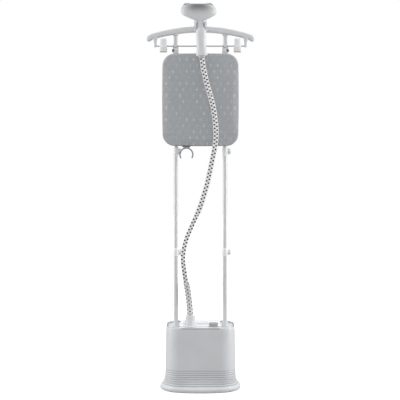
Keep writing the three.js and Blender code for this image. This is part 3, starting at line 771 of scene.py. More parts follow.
@dataclass(frozen=True)
class Block:
    """The space that a frame node fills, in millimetres."""

    low: np.ndarray
    high: np.ndarray

    @classmethod
    def of(cls, node: str) -> "Block":
        """The space of one node."""
        low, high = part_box(node)
        return cls(np.array(low) / MM, np.array(high) / MM)

    @property
    def centre(self) -> np.ndarray:
        """The middle of the space."""
        return (self.low + self.high) / 2

    @property
    def size(self) -> np.ndarray:
        """How wide, deep and tall the space is."""
        return self.high - self.low


class Form:
    """A mesh in the making, in millimetres."""

    def __init__(self) -> None:
        """Starts with nothing."""
        self.points: list[np.ndarray] = []
        self.faces: list[tuple[int, ...]] = []
        self.paint: list[int] = []
        self.flat: list[list[tuple[float, float]] | None] = []
        self.count = 0

    def add(
        self,
        points: np.ndarray,
        faces: list[tuple[int, ...]],
        paint: int = 0,
        flat: list[list[tuple[float, float]]] | None = None,
    ) -> "Form":
        """Adds points and the faces between them.

        Args:
            points: One row a point.
            faces: The points of each face, counted from the first new one.
            paint: Which of the piece's finishes they take.
            flat: Each face's places on the cover's flat pattern.

        Returns:
            This form.
        """
        self.points.append(np.asarray(points, float).reshape(-1, 3))
        self.faces += [tuple(i + self.count for i in face) for face in faces]
        self.paint += [paint] * len(faces)
        self.flat += flat or [None] * len(faces)
        self.count += len(self.points[-1])
        return self

    def loft(
        self,
        rings: Sequence[np.ndarray],
        caps: tuple[bool, bool] = (True, True),
        looped: bool = False,
        paint: int = 0,
        flat: tuple[np.ndarray, float] | None = None,
    ) -> "Form":
        """Adds a skin over rings of equally many points.

        Args:
            rings: The rings, each with one row a point.
            caps: Whether the first and the last ring are closed.
            looped: Whether the last ring joins the first.
            paint: Which of the piece's finishes it takes.
            flat: How far along the pattern each ring lies, and the pattern's width.

        Returns:
            This form.
        """
        rows, n = len(rings), len(rings[0])
        points = np.concatenate([np.asarray(r, float) for r in rings])
        faces, pattern = [], []
        for i in range(rows if looped else rows - 1):
            a, b = i * n, ((i + 1) % rows) * n
            for j in range(n):
                k = (j + 1) % n
                faces.append((a + j, a + k, b + k, b + j))
                if flat is not None:
                    along, wide = flat
                    left, right = wide * j / n, wide * (j + 1) / n
                    pattern.append(
                        [
                            (left, along[i]), (right, along[i]), (right, along[i + 1]),
                            (left, along[i + 1]),
                        ]
                    )
        if not looped and caps[0]:
            faces.append(tuple(range(n - 1, -1, -1)))
            pattern.append([(0.0, 0.0)] * n)
        if not looped and caps[1]:
            faces.append(tuple(range((rows - 1) * n, rows * n)))
            pattern.append([(0.0, 0.0)] * n)
        return self.add(points, faces, paint, pattern if flat is not None else None)

    def turn(
        self,
        profile: Sequence[Point],
        centre: Point = (0, 0, 0),
        axis: Axis = Axis.Z,
        sides: int = 48,
        looped: bool = False,
        paint: int = 0,
        ribs: tuple[int, float] = (0, 0.0),
    ) -> "Form":
        """Adds a turned piece.

        Args:
            profile: Radius and height of each ring, going up the outside.
            centre: Where its axis's zero is.
            axis: The line that it is turned about.
            sides: How many points each ring has.
            looped: Whether the profile is closed, as on a tube.
            paint: Which of the piece's finishes it takes.
            ribs: How many ribs there are round the rings of full radius, and how deep.

        Returns:
            This form.
        """
        angles = np.arange(sides) * 2 * math.pi / sides
        widest = max(r for r, _ in profile)
        rings = []
        for r, z in profile:
            radius = np.full(sides, float(max(r, 0.02)))
            if ribs[0] and r > widest - ribs[1]:
                radius -= ribs[1] * (0.5 - 0.5 * np.cos(angles * ribs[0]))
            rings.append(
                np.stack(
                    [radius * np.cos(angles), radius * np.sin(angles), np.full(sides, float(z))], 1
                )
            )
        turned = [ring @ axis.matrix().T + np.array(centre, float) for ring in rings]
        return self.loft(turned, looped=looped, paint=paint)

    def pressed(
        self,
        outline: Outline,
        profile: Sequence[Point],
        lay: Callable[[np.ndarray, float], np.ndarray],
        paint: int = 0,
    ) -> "Form":
        """Adds a slab whose edge follows a profile.

        Args:
            outline: Gives the flat outline moved outwards by an offset.
            profile: Offset and height of each ring.
            lay: Puts an outline at its height into the row frame.
            paint: Which of the piece's finishes it takes.

        Returns:
            This form.
        """
        return self.loft([lay(outline(offset), height) for offset, height in profile], paint=paint)

    def sweep(
        self,
        path: np.ndarray,
        section: Callable[[float], np.ndarray],
        up: Point = (0, 1, 0),
        caps: tuple[bool, bool] = (True, True),
        paint: int = 0,
        pattern: bool = False,
    ) -> "Form":
        """Adds a section carried along a path.

        Args:
            path: One row a point.
            section: Gives the section's points at a share of the path.
            up: The direction that the section's second axis starts nearest to.
            caps: Whether the first and the last ring are closed.
            paint: Which of the piece's finishes it takes.
            pattern: Whether the cover's flat pattern is kept, in metres along.

        Returns:
            This form.
        """
        path = np.asarray(path, float)
        tangents = np.gradient(path, axis=0)
        tangents /= np.linalg.norm(tangents, axis=1)[:, None]
        rings, normal = [], np.array(up, float)
        steps = np.linalg.norm(np.diff(path, axis=0), axis=1)
        along = np.concatenate([[0.0], np.cumsum(steps)])
        for spot, tangent, reach in zip(path, tangents, along / along[-1]):
            normal = normal - (normal @ tangent) * tangent
            normal /= np.linalg.norm(normal)
            aside = np.cross(normal, tangent)
            flat = section(reach)
            rings.append(spot + flat[:, :1] * aside + flat[:, 1:] * normal)
        return self.loft(rings, caps, paint=paint, flat=(along * MM, 1.0) if pattern else None)

    def build(
        self,
        name: str,
        finishes: Finish | Sequence[Finish],
        sharp: float = 38.0,
        turned_out: bool = True,
    ) -> bpy.types.Object:
        """Makes the mesh and its object.

        Args:
            name: The piece's name.
            finishes: Its finish, or several in the order that paint counts them.
            sharp: The angle in degrees above which an edge is crisp.
            turned_out: Whether the faces are turned to look outwards.

        Returns:
            The object.
        """
        mesh = bpy.data.meshes.new(name)
        mesh.from_pydata(np.concatenate(self.points) * MM, [], self.faces)
        if any(f is not None for f in self.flat):
            layer = mesh.uv_layers.new(name="weave")
            spots = [uv for face in self.flat for uv in face]
            layer.data.foreach_set("uv", np.array(spots, np.float32).ravel())
        for finish in [finishes] if isinstance(finishes, Finish) else finishes:
            mesh.materials.append(finish.material())
        mesh.polygons.foreach_set("material_index", self.paint)
        if turned_out:
            work = bmesh.new()
            work.from_mesh(mesh)
            bmesh.ops.recalc_face_normals(work, faces=work.faces)
            work.to_mesh(mesh)
            work.free()
        mesh.polygons.foreach_set("use_smooth", [True] * len(mesh.polygons))
        mesh.set_sharp_from_angle(angle=math.radians(sharp))
        mesh.update()
        made = bpy.data.objects.new(name, mesh)
        bpy.context.scene.collection.objects.link(made)
        return made


def fit(
    made: bpy.types.Object, body: str | None, replaced: Sequence[str] = ()
) -> bpy.types.Object:
    """Joins a piece to the frame and reports it.

    Args:
        made: The piece.
        body: The body that it rides on, or None where it rides on none.
        replaced: The frame nodes that it stands for.

    Returns:
        The piece.
    """
    if body is not None:
        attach(made, body)
    if replaced:
        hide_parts(*replaced)
    LOG.info("%s on %s, %d faces", made.name, body, len(made.data.polygons))
    return made


def settled(made: bpy.types.Object) -> None:
    """Applies a piece's modifiers to its mesh.

    Args:
        made: The piece.
    """
    graph = bpy.context.evaluated_depsgraph_get()
    mesh = bpy.data.meshes.new_from_object(made.evaluated_get(graph))
    made.modifiers.clear()
    made.data = mesh


def carve(
    made: bpy.types.Object, *tools: bpy.types.Object, sharp: float = 38.0
) -> bpy.types.Object:
    """Cuts tools out of a piece and removes them.

    Args:
        made: The piece.
        *tools: The shapes to cut out.
        sharp: The angle in degrees above which an edge is crisp.

    Returns:
        The piece.
    """
    for tool in tools:
        cut = made.modifiers.new("cut", "BOOLEAN")
        cut.operation, cut.solver, cut.object = "DIFFERENCE", "EXACT", tool
        settled(made)
        bpy.data.objects.remove(tool)
    made.data.polygons.foreach_set("use_smooth", [True] * len(made.data.polygons))
    made.data.set_sharp_from_angle(angle=math.radians(sharp))
    return made


def circle(radius: float, sides: int) -> np.ndarray:
    """A circle's points, turning left from the right-hand side."""
    angles = np.arange(sides) * 2 * math.pi / sides
    return np.column_stack([np.cos(angles), np.sin(angles)]) * radius


def dense(flat: np.ndarray, pitch: float, least: float = 0.0) -> np.ndarray:
    """An outline with more points along its straight runs.

    Args:
        flat: One row a point.
        pitch: How far apart the points of a run are, at least.
        least: The length below which a run stays whole.

    Returns:
        One row a point.
    """
    spots = []
    for a, b in zip(flat, np.roll(flat, -1, axis=0)):
        length = float(np.linalg.norm(b - a))
        n = 1 if length < least else max(1, int(length / pitch))
        spots += [a + (b - a) * k / n for k in range(n)]
    return np.array(spots)


def raised(flat: np.ndarray, height: float) -> np.ndarray:
    """An outline in X and Y at a height."""
    return np.column_stack([flat, np.full(len(flat), float(height))])


def upright(flat: np.ndarray, depth: float) -> np.ndarray:
    """An outline in X and Z at a depth along Y."""
    return np.column_stack([flat[:, 0], np.full(len(flat), float(depth)), flat[:, 1]])


def rounded(half_x: float, half_y: float, radius: float, steps: int = 10) -> np.ndarray:
    """A rectangle with round corners.

    Args:
        half_x: Half its width.
        half_y: Half its height.
        radius: The corners' radius.
        steps: How many parts each corner has.

    Returns:
        One row a point, turning left from the right-hand side.
    """
    radius = max(radius, 0.01)
    signs = ((1, 1), (-1, 1), (-1, -1), (1, -1))
    spots = []
    for corner, (sx, sy) in enumerate(signs):
        angles = (corner + np.linspace(0, 1, steps + 1)) * math.pi / 2
        spots.append(
            np.column_stack(
                [
                    sx * (half_x - radius) + radius * np.cos(angles),
                    sy * (half_y - radius) + radius * np.sin(angles),
                ]
            )
        )
    return np.concatenate(spots)


def window(
    half: Point, radius: float, spot: Point, steps: int = 10, widens: bool = True
) -> Outline:
    """A rectangle with round corners that can be moved outwards.

    Args:
        half: Half its width and height.
        radius: The corners' radius.
        spot: Its middle.
        steps: How many parts each corner has.
        widens: Whether the corners' radius grows with the offset.

    Returns:
        What gives the outline at an offset.
    """

    def outline(offset: float) -> np.ndarray:
        """The outline, moved outwards."""
        corner = radius + offset if widens else radius
        return rounded(half[0] + offset, half[1] + offset, corner, steps) + np.array(spot)

    return outline


def filleted(corners: Sequence[Point], radius: float, steps: int = 5) -> np.ndarray:
    """A polygon whose corners are rounded.

    Args:
        corners: Its corners, turning left.
        radius: The corners' radius.
        steps: How many parts each corner has.

    Returns:
        One row a point.
    """
    spots = []
    pts = np.array(corners, float)
    for i, corner in enumerate(pts):
        before, after = pts[i - 1] - corner, pts[(i + 1) % len(pts)] - corner
        reach = min(radius, np.linalg.norm(before) * 0.45, np.linalg.norm(after) * 0.45)
        start = corner + before / np.linalg.norm(before) * reach
        end = corner + after / np.linalg.norm(after) * reach
        for t in np.linspace(0, 1, steps + 1):
            spots.append((1 - t) ** 2 * start + 2 * t * (1 - t) * corner + t**2 * end)
    return np.array(spots)


def grown(flat: np.ndarray) -> Outline:
    """An outline that can be moved outwards along its own normals.

    Args:
        flat: One row a point, turning left.

    Returns:
        What gives the outline at an offset.
    """
    ahead, behind = np.roll(flat, -1, axis=0), np.roll(flat, 1, axis=0)
    run = ahead - behind
    normals = np.column_stack([run[:, 1], -run[:, 0]])
    normals /= np.maximum(np.linalg.norm(normals, axis=1), 1e-9)[:, None]
    return lambda offset: flat + offset * normals


def soft_edge(
    low: float, high: float, radius: float, inset: float = 0.0, steps: int = 4
) -> list[tuple[float, float]]:
    """The edge profile of a slab with rounded rims.

    Args:
        low: The height of its lower face.
        high: The height of its upper face.
        radius: The rims' radius.
        inset: How far the whole edge stands in.
        steps: How many parts each rim has.

    Returns:
        Offset and height of each ring.
    """
    sign = 1 if high > low else -1
    turns = np.linspace(0, math.pi / 2, steps + 1)
    sine, cosine = np.sin(turns), np.cos(turns)
    offsets = -inset - radius + radius * np.concatenate([sine, cosine])
    lower, upper = low + sign * radius * (1 - cosine), high - sign * radius * (1 - sine)
    return list(zip(offsets, np.concatenate([lower, upper])))


def eased(knots: Sequence[Point], spots: np.ndarray) -> np.ndarray:
    """A smooth curve through knots that never overshoots them.

    Args:
        knots: Place and value of each knot, with places going up.
        spots: Where the values are wanted.

    Returns:
        The values.
    """
    x, y = np.array(knots, float).T
    h, slope = np.diff(x), np.diff(y) / np.diff(x)
    pitch = np.zeros(len(x))
    for i in range(1, len(x) - 1):
        if slope[i - 1] * slope[i] > 0:
            w1, w2 = 2 * h[i] + h[i - 1], h[i] + 2 * h[i - 1]
            pitch[i] = (w1 + w2) / (w1 / slope[i - 1] + w2 / slope[i])
    pitch[0], pitch[-1] = slope[0], slope[-1]
    i = np.clip(np.searchsorted(x, spots) - 1, 0, len(x) - 2)
    t = (spots - x[i]) / h[i]
    return (
        y[i] * (1 + 2 * t) * (1 - t) ** 2
        + pitch[i] * h[i] * t * (1 - t) ** 2
        + y[i + 1] * t**2 * (3 - 2 * t)
        + pitch[i + 1] * h[i] * t**2 * (t - 1)
    )


def between(
    spots: np.ndarray, first: tuple[float, np.ndarray], last: tuple[float, np.ndarray]
) -> np.ndarray:
    """An even run from one value to another.

    Args:
        spots: Where the values are wanted, one row each.
        first: Where the run starts, and its value there.
        last: Where it ends, and its value there.

    Returns:
        The values.
    """
    span = last[0] - first[0]
    return (last[0] - spots) / span * first[1] + (spots - first[0]) / span * last[1]


def eased_at(knots: Sequence[Point], spot: float) -> float:
    """The same curve's value at one place."""
    return float(eased(knots, np.array([spot]))[0])


def tube_profile(outer: float, inner: float, low: float, high: float) -> list[Point]:
    """The closed profile of a tube with eased ends.

    Args:
        outer: The tube's radius.
        inner: The radius of its bore.
        low: The height of its lower end.
        high: The height of its upper end.

    Returns:
        Radius and height of each ring.
    """
    edge = 0.3
    return [
        (inner, low),
        (outer - edge, low),
        (outer, low + edge),
        (outer, high - edge),
        (outer - edge, high),
        (inner, high),
    ]


# ---------------------------------------------------------------- studio


@dataclass
class Studio:
    """The camera, the soft light and the pale floor."""

    eye: Point = (-0.0019, -5.14, 1.005)
    tilt: float = 2.29
    lens: float = 109.3
    floor_half: float = 14.0

    def build(self) -> None:
        """Makes the camera, the light and the floor."""
        self._camera()
        self._sky()
        self._lamps()
        self._floor()
        bpy.context.scene.view_settings.view_transform = "Standard"
        LOG.info("studio")

    def _camera(self) -> None:
        """The camera stands in front at chest height and looks slightly down."""
        made = bpy.data.objects.new("camera", bpy.data.cameras.new("camera"))
        bpy.context.scene.collection.objects.link(made)
        made.location = self.eye
        made.rotation_euler = (math.radians(90 - self.tilt), 0, 0)
        made.data.lens = self.lens
        made.data.sensor_width = 36
        made.data.clip_start, made.data.clip_end = 0.1, 100
        bpy.context.scene.camera = made

    def _sky(self) -> None:
        """A studio room: bright walls at the sides, a bright ceiling and a darker front."""
        world = bpy.data.worlds.new("room")
        bpy.context.scene.world = world
        world.use_nodes = True
        room = Recipe(world.node_tree)
        way = room.node("ShaderNodeTexCoord", output="Generated")
        x, y, z = (room.node("ShaderNodeSeparateXYZ", inputs={0: way}, output=a) for a in "XYZ")
        walls = abs(x).spread(0.45, 0.95, 0.0, 0.7)
        ceiling = z.spread(0.7, 1.0, 0.0, 0.7)
        above = z.spread(0.15, 0.55) * y.spread(-0.6, -0.1, 0.34, 0.0)
        low = z.spread(-0.7, 0.0, 0.15, 0.0)
        behind = y.spread(0.1, 0.7, 0.0, 0.24)
        glow = walls + ceiling + 0.88 - above - low - behind
        seen = room.node("ShaderNodeLightPath", output="Is Camera Ray")
        lit = room.node("ShaderNodeBackground", None, {"Color": (1, 1, 1, 1), "Strength": glow})
        plain = room.node("ShaderNodeBackground", None, {"Color": (1, 1, 1, 1), "Strength": 1.0})
        both = room.node("ShaderNodeMixShader", None, {0: seen, 1: lit, 2: plain})
        room.node("ShaderNodeOutputWorld", None, {"Surface": both})

    def _lamp(self, name: str, spot: Point, aim: Point, size: Point, watts: float) -> None:
        """Adds a soft lamp.

        Args:
            name: The lamp's name.
            spot: Where it hangs.
            aim: The point that it faces.
            size: Its width and height.
            watts: Its power.
        """
        lamp = bpy.data.lights.new(name, "AREA")
        lamp.shape, lamp.energy = "RECTANGLE", watts
        lamp.size, lamp.size_y = size
        made = bpy.data.objects.new(name, lamp)
        bpy.context.scene.collection.objects.link(made)
        made.location = spot
        made.rotation_euler = (Vector(aim) - Vector(spot)).to_track_quat("-Z", "Y").to_euler()

    def _lamps(self) -> None:
        """Two tall soft lamps at the sides and one above."""
        self._lamp("lamp_left", (-2.4, -0.35, 1.0), (0, 0, 0.8), (0.7, 2.4), 22)
        self._lamp("lamp_right", (2.4, -0.35, 1.0), (0, 0, 0.8), (0.7, 2.4), 27)
        self._lamp("lamp_above", (0.2, 0.3, 3.4), (0, 0, 0.8), (2.2, 1.6), 16)

    def _floor(self) -> None:
        """A plain white floor that runs into the room."""
        half = self.floor_half
        corners = [(x * half, y * half, 0.0) for x, y in ((-1, -1), (1, -1), (1, 1), (-1, 1))]
        made = bpy.data.meshes.new("floor")
        made.from_pydata(corners, [], [(0, 1, 2, 3)])
        paint = bpy.data.materials.new("floor_white")
        paint.use_nodes = True
        mix = Recipe(paint.node_tree)
        seen = mix.node("ShaderNodeLightPath", output="Is Camera Ray")
        matt = mix.node("ShaderNodeBsdfDiffuse", None, {"Color": (0.36, 0.36, 0.36, 1)})
        pale = mix.node("ShaderNodeBsdfDiffuse", None, {"Color": (0.8, 0.8, 0.8, 1)})
        glow = mix.node("ShaderNodeEmission", None, {"Color": (1, 1, 1, 1), "Strength": 0.72})
        shown = mix.node("ShaderNodeAddShader", None, {0: pale, 1: glow})
        both = mix.node("ShaderNodeMixShader", None, {0: seen, 1: matt, 2: shown})
        mix.node("ShaderNodeOutputMaterial", None, {"Surface": both})
        made.materials.append(paint)
        floor = bpy.data.objects.new("floor", made)
        bpy.context.scene.collection.objects.link(floor)


# ---------------------------------------------------------------- hose


@dataclass
class Stretch:
    """One part of the hose, between two heights.

    A part with no body rides on none. Squash holds a joint, the height that would stay where it
    is and the share of the part's height that would be left; nothing applies it.
    """

    name: str
    low: float
    high: float
    radius: float
    finish: HoseBraid
    body: str | None
    squash: tuple[str, float, float] | None = None


@dataclass
class Hose:
    """The steam hose, from the base's connector up to the handset's cuff."""

    route: Sequence[Point] = (
        (-43, -40, 292),
        (-43.2, -40, 322),
        (-46.5, -44, 362),
        (-53, -56, 418),
        (-64.6, -78, 484),
        (-72.8, -90, 568),
        (-60.4, -92, 635),
        (-33.3, -92, 702),
        (-4, -93, 768),
        (26.7, -94, 868),
        (48.5, -96, 968),
        (62.3, -98, 1042),
        (64.3, -98, 1092),
        (51.9, -98, 1192),
        (24.7, -98, 1292),
        (11, -98.5, 1356),
        (6.9, -99, 1390.4),
    )
    radius: float = 11
    sleeve_radius: float = 13.5
    joins: Sequence[float] = (292, 457, 740, 1240, 1390.4)
    drop: float = 280
    sides: int = 40

    def line(self) -> np.ndarray:
        """Draws a centripetal curve through the route.

        Returns:
            The hose's centreline, with a point every 3 mm or so.
        """
        pts = np.array(self.route, float)
        pts = np.vstack([2 * pts[0] - pts[1], pts, 2 * pts[-1] - pts[-2]])
        found = []
        for i in range(1, len(pts) - 2):
            p = pts[i - 1 : i + 3]
            t = np.concatenate([[0], np.cumsum(np.linalg.norm(np.diff(p, axis=0), axis=1) ** 0.5)])
            n = max(6, int(np.linalg.norm(p[2] - p[1]) / 3))
            s = np.linspace(t[1], t[2], n, endpoint=False)[:, None]
            a = [between(s, (t[k], p[k]), (t[k + 1], p[k + 1])) for k in range(3)]
            b = [between(s, (t[k], a[k]), (t[k + 2], a[k + 1])) for k in range(2)]
            found.append(between(s, (t[1], b[0]), (t[2], b[1])))
        return np.vstack([*found, pts[-2]])

    def _between(self, line: np.ndarray, low: float, high: float) -> np.ndarray:
        """Cuts the centreline between two heights.

        Args:
            line: The centreline, which only rises.
            low: The height of the part's lower end.
            high: The height of its upper end.

        Returns:
            The part, ending exactly on them.
        """
        heights = line[:, 2]
        start, end = (
            [np.interp(z, heights, line[:, axis]) for axis in range(3)] for z in (low, high)
        )
        inner = line[(heights > low + 0.8) & (heights < high - 0.8)]
        return np.vstack([start, inner, end])

    def build(self) -> None:
        """Makes the hose's four parts."""
        low, sleeve, lower, middle, top = self.joins
        share = 1 - self.drop / (lower - low)
        parts = [
            Stretch(
                "hose_sleeve_cover",
                low,
                sleeve,
                self.sleeve_radius,
                SLEEVE,
                "base",
                ("lower_telescope", low, share),
            ),
            Stretch(
                "hose_lower_cover",
                sleeve,
                lower,
                self.radius,
                BRAID,
                "base",
                ("lower_telescope", low, share),
            ),
            Stretch(
                "hose_middle_cover", lower, middle, self.radius, BRAID, "middle",
                ("upper_telescope", lower, 1 - self.drop / (middle - lower)),
            ),
            Stretch("hose_top_cover", middle, top, self.radius, BRAID, None),
        ]
        line = self.line()
        for part in parts:
            path = self._between(line, part.low, part.high)
            self._stretch(part, path)

    def _stretch(self, part: Stretch, path: np.ndarray) -> None:
        """Makes one part of the hose.

        Args:
            part: The part.
            path: Its centreline.
        """
        ring = circle(part.radius, self.sides)
        form = Form().sweep(path, lambda reach: ring, pattern=True)
        made = form.build(part.name, part.finish, sharp=60)
        fit(made, part.body, [part.name.replace("_cover", "")])
        if part.squash:
            joint, anchor, keep = part.squash
            anchor * MM
            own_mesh(made)
        else:
            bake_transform(made)
        length = float(np.linalg.norm(np.diff(path, axis=0), axis=1).sum())
        2 * part.radius * MM
        LOG.info("%s is %.0f mm long", part.name, length)


# ---------------------------------------------------------------- base


@dataclass
class Base:
    """The base: housing, deck, tank, knob, hose connector and what is inside."""

    deck_half: Point = (144, 118)
    deck_corner: float = 61
    rim: float = 271
    deck: float = 265.5
    deck_thick: float = 3.2
    wall: float = 3
    flare: Sequence[Point] = (
        (3, 24.6),
        (6, 27.6),
        (12, 27.2),
        (17, 25.5),
        (23, 19.5),
        (31, 14),
        (42, 9.5),
        (58, 6),
        (84, 4.5),
        (258, 0.8),
        (271, 0),
    )
    round_below: float = 66
    round_share: float = 0.6
    groove_low: float = 28
    groove_pitch: float = 9
    groove_count: int = 8
    groove_deep: float = 1.5
    groove_wide: float = 4.6
    pole: Point = (POLE_X, POLE_Y)
    outlet_x: float = -43
    knob_x: float = 55
    tank_y: float = 73
    steps: int = 16

    def plan(self, offset: float) -> np.ndarray:
        """The deck's outline, with points along its straight runs.

        Args:
            offset: How far it is moved outwards.

        Returns:
            One row a point.
        """
        flat = rounded(
            self.deck_half[0] + offset, self.deck_half[1] + offset, self.deck_corner + offset,
            self.steps
        )
        return dense(flat, 9.2, least=40)

    def foot(self, offset: float, z: float) -> np.ndarray:
        """The housing's outline, which is rounder towards the floor.

        Args:
            offset: How far it is moved outwards.
            z: The height.

        Returns:
            One row a point.
        """
        flat = self.plan(offset)
        near = float(np.clip((self.round_below - z) / self.round_below, 0, 1))
        share = self.round_share * near * near * (3 - 2 * near)
        reach = np.linalg.norm(flat, axis=1)
        way = flat / reach[:, None]
        oval = 1 / np.linalg.norm(way / (flat.max(axis=0) * np.array([1, 0.98])), axis=1)
        return way * (reach * (1 - share) + np.minimum(oval, reach) * share)[:, None]

    def build(self) -> None:
        """Makes every piece of the base."""
        self._housing()
        self._deck()
        self._tank()
        self._knob()
        self._connector()
        self._small()
        self._dress()

    def _housing(self) -> None:
        """The flared housing with its grooves, and the dark trim inside its rim."""
        heights = np.unique(
            np.concatenate(
                [np.linspace(3, 24, 22), np.arange(24, 98, 0.75), np.linspace(98, 268.5, 18)]
            )
        )
        outs = eased(self.flare, heights)
        for i in range(self.groove_count):
            middle = self.groove_low + i * self.groove_pitch
            near = np.clip(abs(heights - middle) / (self.groove_wide / 2), 0, 1)
            outs = outs - self.groove_deep * (0.5 + 0.5 * np.cos(math.pi * near))
        rings = [(float(o), float(z)) for o, z in zip(outs, heights)]
        top = [(-0.1, 269.6), (-0.6, 270.6), (-1.4, 271), (-2.2, 270.7), (-2.9, 269.9), (-3, 268.6)]
        inner = [
            (eased_at(self.flare, z) - self.wall - (0.6 if z > 20 else 0), float(z))
            for z in (258, 150, 84, 58, 42, 31, 23, 17, 9, 3)
        ]
        inner = [(min(o, -3.2) if z > 200 else o, z) for o, z in inner]
        form = Form()
        form.loft([raised(self.foot(o, z), z) for o, z in [*rings, *top, *inner]], looped=True)
        made = form.build("housing", HOUSING, sharp=50)
        inlet = Form().turn(
            [(7.4, 100), (7.4, 150)], (60, 0, 40), Axis.Y, 32
        ).build("inlet", HOUSING)
        carve(made, inlet, sharp=50)
        fit(made, "base", ["base_shell"])

        plate = Form().pressed(
            lambda offset: self.foot(23.6 + offset, 7.6), soft_edge(6.3, 9, 0.5), raised
        )
        for side in Side:
            low, high = 8.5, 60
            profile = [(11.4, low), (14.9, low), (14.9, high - 1), (14.4, high), (11.4, high)]
            plate.turn(profile, (side.value * self.pole[0], self.pole[1], 0), looped=True)
        fit(plate.build("under_plate", DARK), "base", ["base_plate"])

        # A dark strip on the front face at the rim's top: it stands in for the seal's line there
        # and is painted shadow under the rim lip.
        seam = rounded(79, 1.1, 1.0, 4) + np.array([0, self.rim - 3.1])
        form = Form().pressed(
            grown(seam),
            soft_edge(-self.deck_half[1] - 0.05, -self.deck_half[1] - 0.75, 0.3),
            upright,
        )
        fit(form.build("rim_seam", DARK), "base")
        trim = [
            (-3.3, 262), (-3.3, 270.4), (-3.8, 271.2), (-4.7, 271.2), (-5.3, 270.4), (-5.3, 262.2),
            (-10, 262), (-10, 260.4), (-3.6, 260.4),
        ]
        form = Form().loft([raised(self.plan(o), z) for o, z in trim], looped=True)
        fit(form.build("rim_seal", GREY), "base", ["rim_trim"])

    def _deck(self) -> None:
        """The white deck, with the mouth of the tank's well and its holes."""
        under = self.deck - self.deck_thick
        edge = [(-5.7, under), (-5.7, self.deck - 0.9), (-6.0, self.deck - 0.25), (-6.8, self.deck)]
        made = Form().pressed(self.plan, edge, raised).build("deck", GLOSS)
        mouth = Form().pressed(
            window((84, 31.5), 13.5, (0, self.tank_y), widens=False),
            [(0, under - 2), (0, self.deck - 1), (0.9, self.deck + 0.2), (0.9, self.deck + 3)],
            raised,
        )
        tools = [mouth.build("mouth", GLOSS)]
        for x, r in (
            (-self.pole[0], 11.4), (self.pole[0], 11.4), (self.outlet_x, 8), (self.knob_x, 4)
        ):
            tools.append(
                Form().turn(
                    [(r, under - 2), (r, self.deck + 2)], (x, self.pole[1], 0)
                ).build("hole", GLOSS)
            )
        fit(carve(made, *tools, sharp=30), "base", ["top_deck"])

        for side in Side:
            low = self.deck + 0.3
            profile = [
                (11.4, low), (15.6, low), (15.6, low + 1.2), (15.0, low + 1.9), (13.6, low + 2.2),
                (13.4, low + 3), (13.4, low + 11.6), (13.0, low + 12.8), (12.3, low + 13.2),
                (11.4, low + 13.2),
            ]
            form = Form().turn(profile, (side.value * self.pole[0], self.pole[1], 0), looped=True)
            fit(
                form.build(f"deck_collar_{side.word}", LIGHT),
                "base",
                [f"pole_collar_{side.word}"],
            )

    def _tank(self) -> None:
        """The clear tank, its lid with a grip, its level ribs and its cap."""
        tank = window((82.5, 30), 12, (0, self.tank_y), 8)
        shell = [
            (-8, 84), (-4, 84.3), (-1.2, 86), (0, 90), (0, 263), (-0.2, 265.2), (-2.2, 265.2),
            (-2.2, 262), (-2.2, 91), (-3.4, 88), (-6, 86.4), (-8.5, 86.2),
        ]
        form = Form().loft([raised(tank(o), z) for o, z in shell])
        made = form.build("tank_body", TANK)
        hole = Form().turn([(15, 70), (15, 88)], (0, self.tank_y, 0)).build("hole", TANK)
        carve(made, hole)
        fit(made, "tank", ["tank_shell"])
        neck = [(15, 79.2), (17.4, 79.2), (17.9, 79.8), (17.9, 83.9), (15.1, 83.9)]
        made = Form().turn(neck, (0, self.tank_y, 0), looped=True).build("tank_neck", TANK)
        fit(made, "tank")

        low, high = 265.8, 274.8
        turns = np.linspace(0.2, math.pi / 2, 5)
        brim = [(3 - 2.4 * (1 - math.cos(a)), low + 5.6 + 3.4 * math.sin(a)) for a in turns]
        profile = [(1.5, low), (3, low), (3, low + 5.6), *brim]
        made = Form().pressed(tank, profile, raised).build("lid", GLOSS)
        grip = Form().pressed(
            window((38, 10.5), 10.4, (0, self.tank_y + 6)),
            [
                (-1.4, low + 2.3), (-0.4, low + 2.9), (0, low + 4), (0.3, high - 1),
                (1.6, high + 0.2), (1.6, high + 2),
            ],
            raised,
        ).build("grip", GLOSS)
        carve(made, grip, sharp=30)
        fit(made, "tank", ["tank_lid"])
        plug = Form().pressed(
            tank, [(-2.8, 259), (-2.6, 258.6), (-2.6, 265.8), (-4, 265.8)], raised
        )
        fit(plug.build("lid_plug", GLOSS), "tank")
        bridge = Form().pressed(
            window((30, 1.6), 1.5, (0, self.tank_y - 18), widens=False),
            [(0, high - 0.6), (0, high - 0.1), (-0.8, high + 0.3)],
            raised,
        )
        fit(bridge.build("lid_rib", GLOSS), "tank")
        levels = Form()
        for height, half in ((120, 7), (160, 7), (200, 7), (240, 12)):
            levels.pressed(
                window((half, 0.7), 0.6, (60, height), 3, widens=False),
                [(0, 43.2), (0, 42.75), (-0.3, 42.5)],
                upright,
            )
        fit(levels.build("level_ribs", GREY), "tank")

        cap = [
            (0, 75.4), (18.6, 75.4), (20.6, 76.1), (21, 77.2), (21, 83.2), (20.4, 83.7),
            (18.4, 83.7), (18.4, 77.8), (0, 77.8),
        ]
        form = Form().turn(cap, (0, self.tank_y, 0), sides=144, ribs=(36, 0.6))
        pin = [(0, 72.9), (3.2, 72.9), (3.8, 73.6), (3.8, 75.6), (0, 75.6)]
        form.turn(pin, (0, self.tank_y, 0))
        fit(form.build("cap", DARK), "tank_cap", ["tank_cap"])

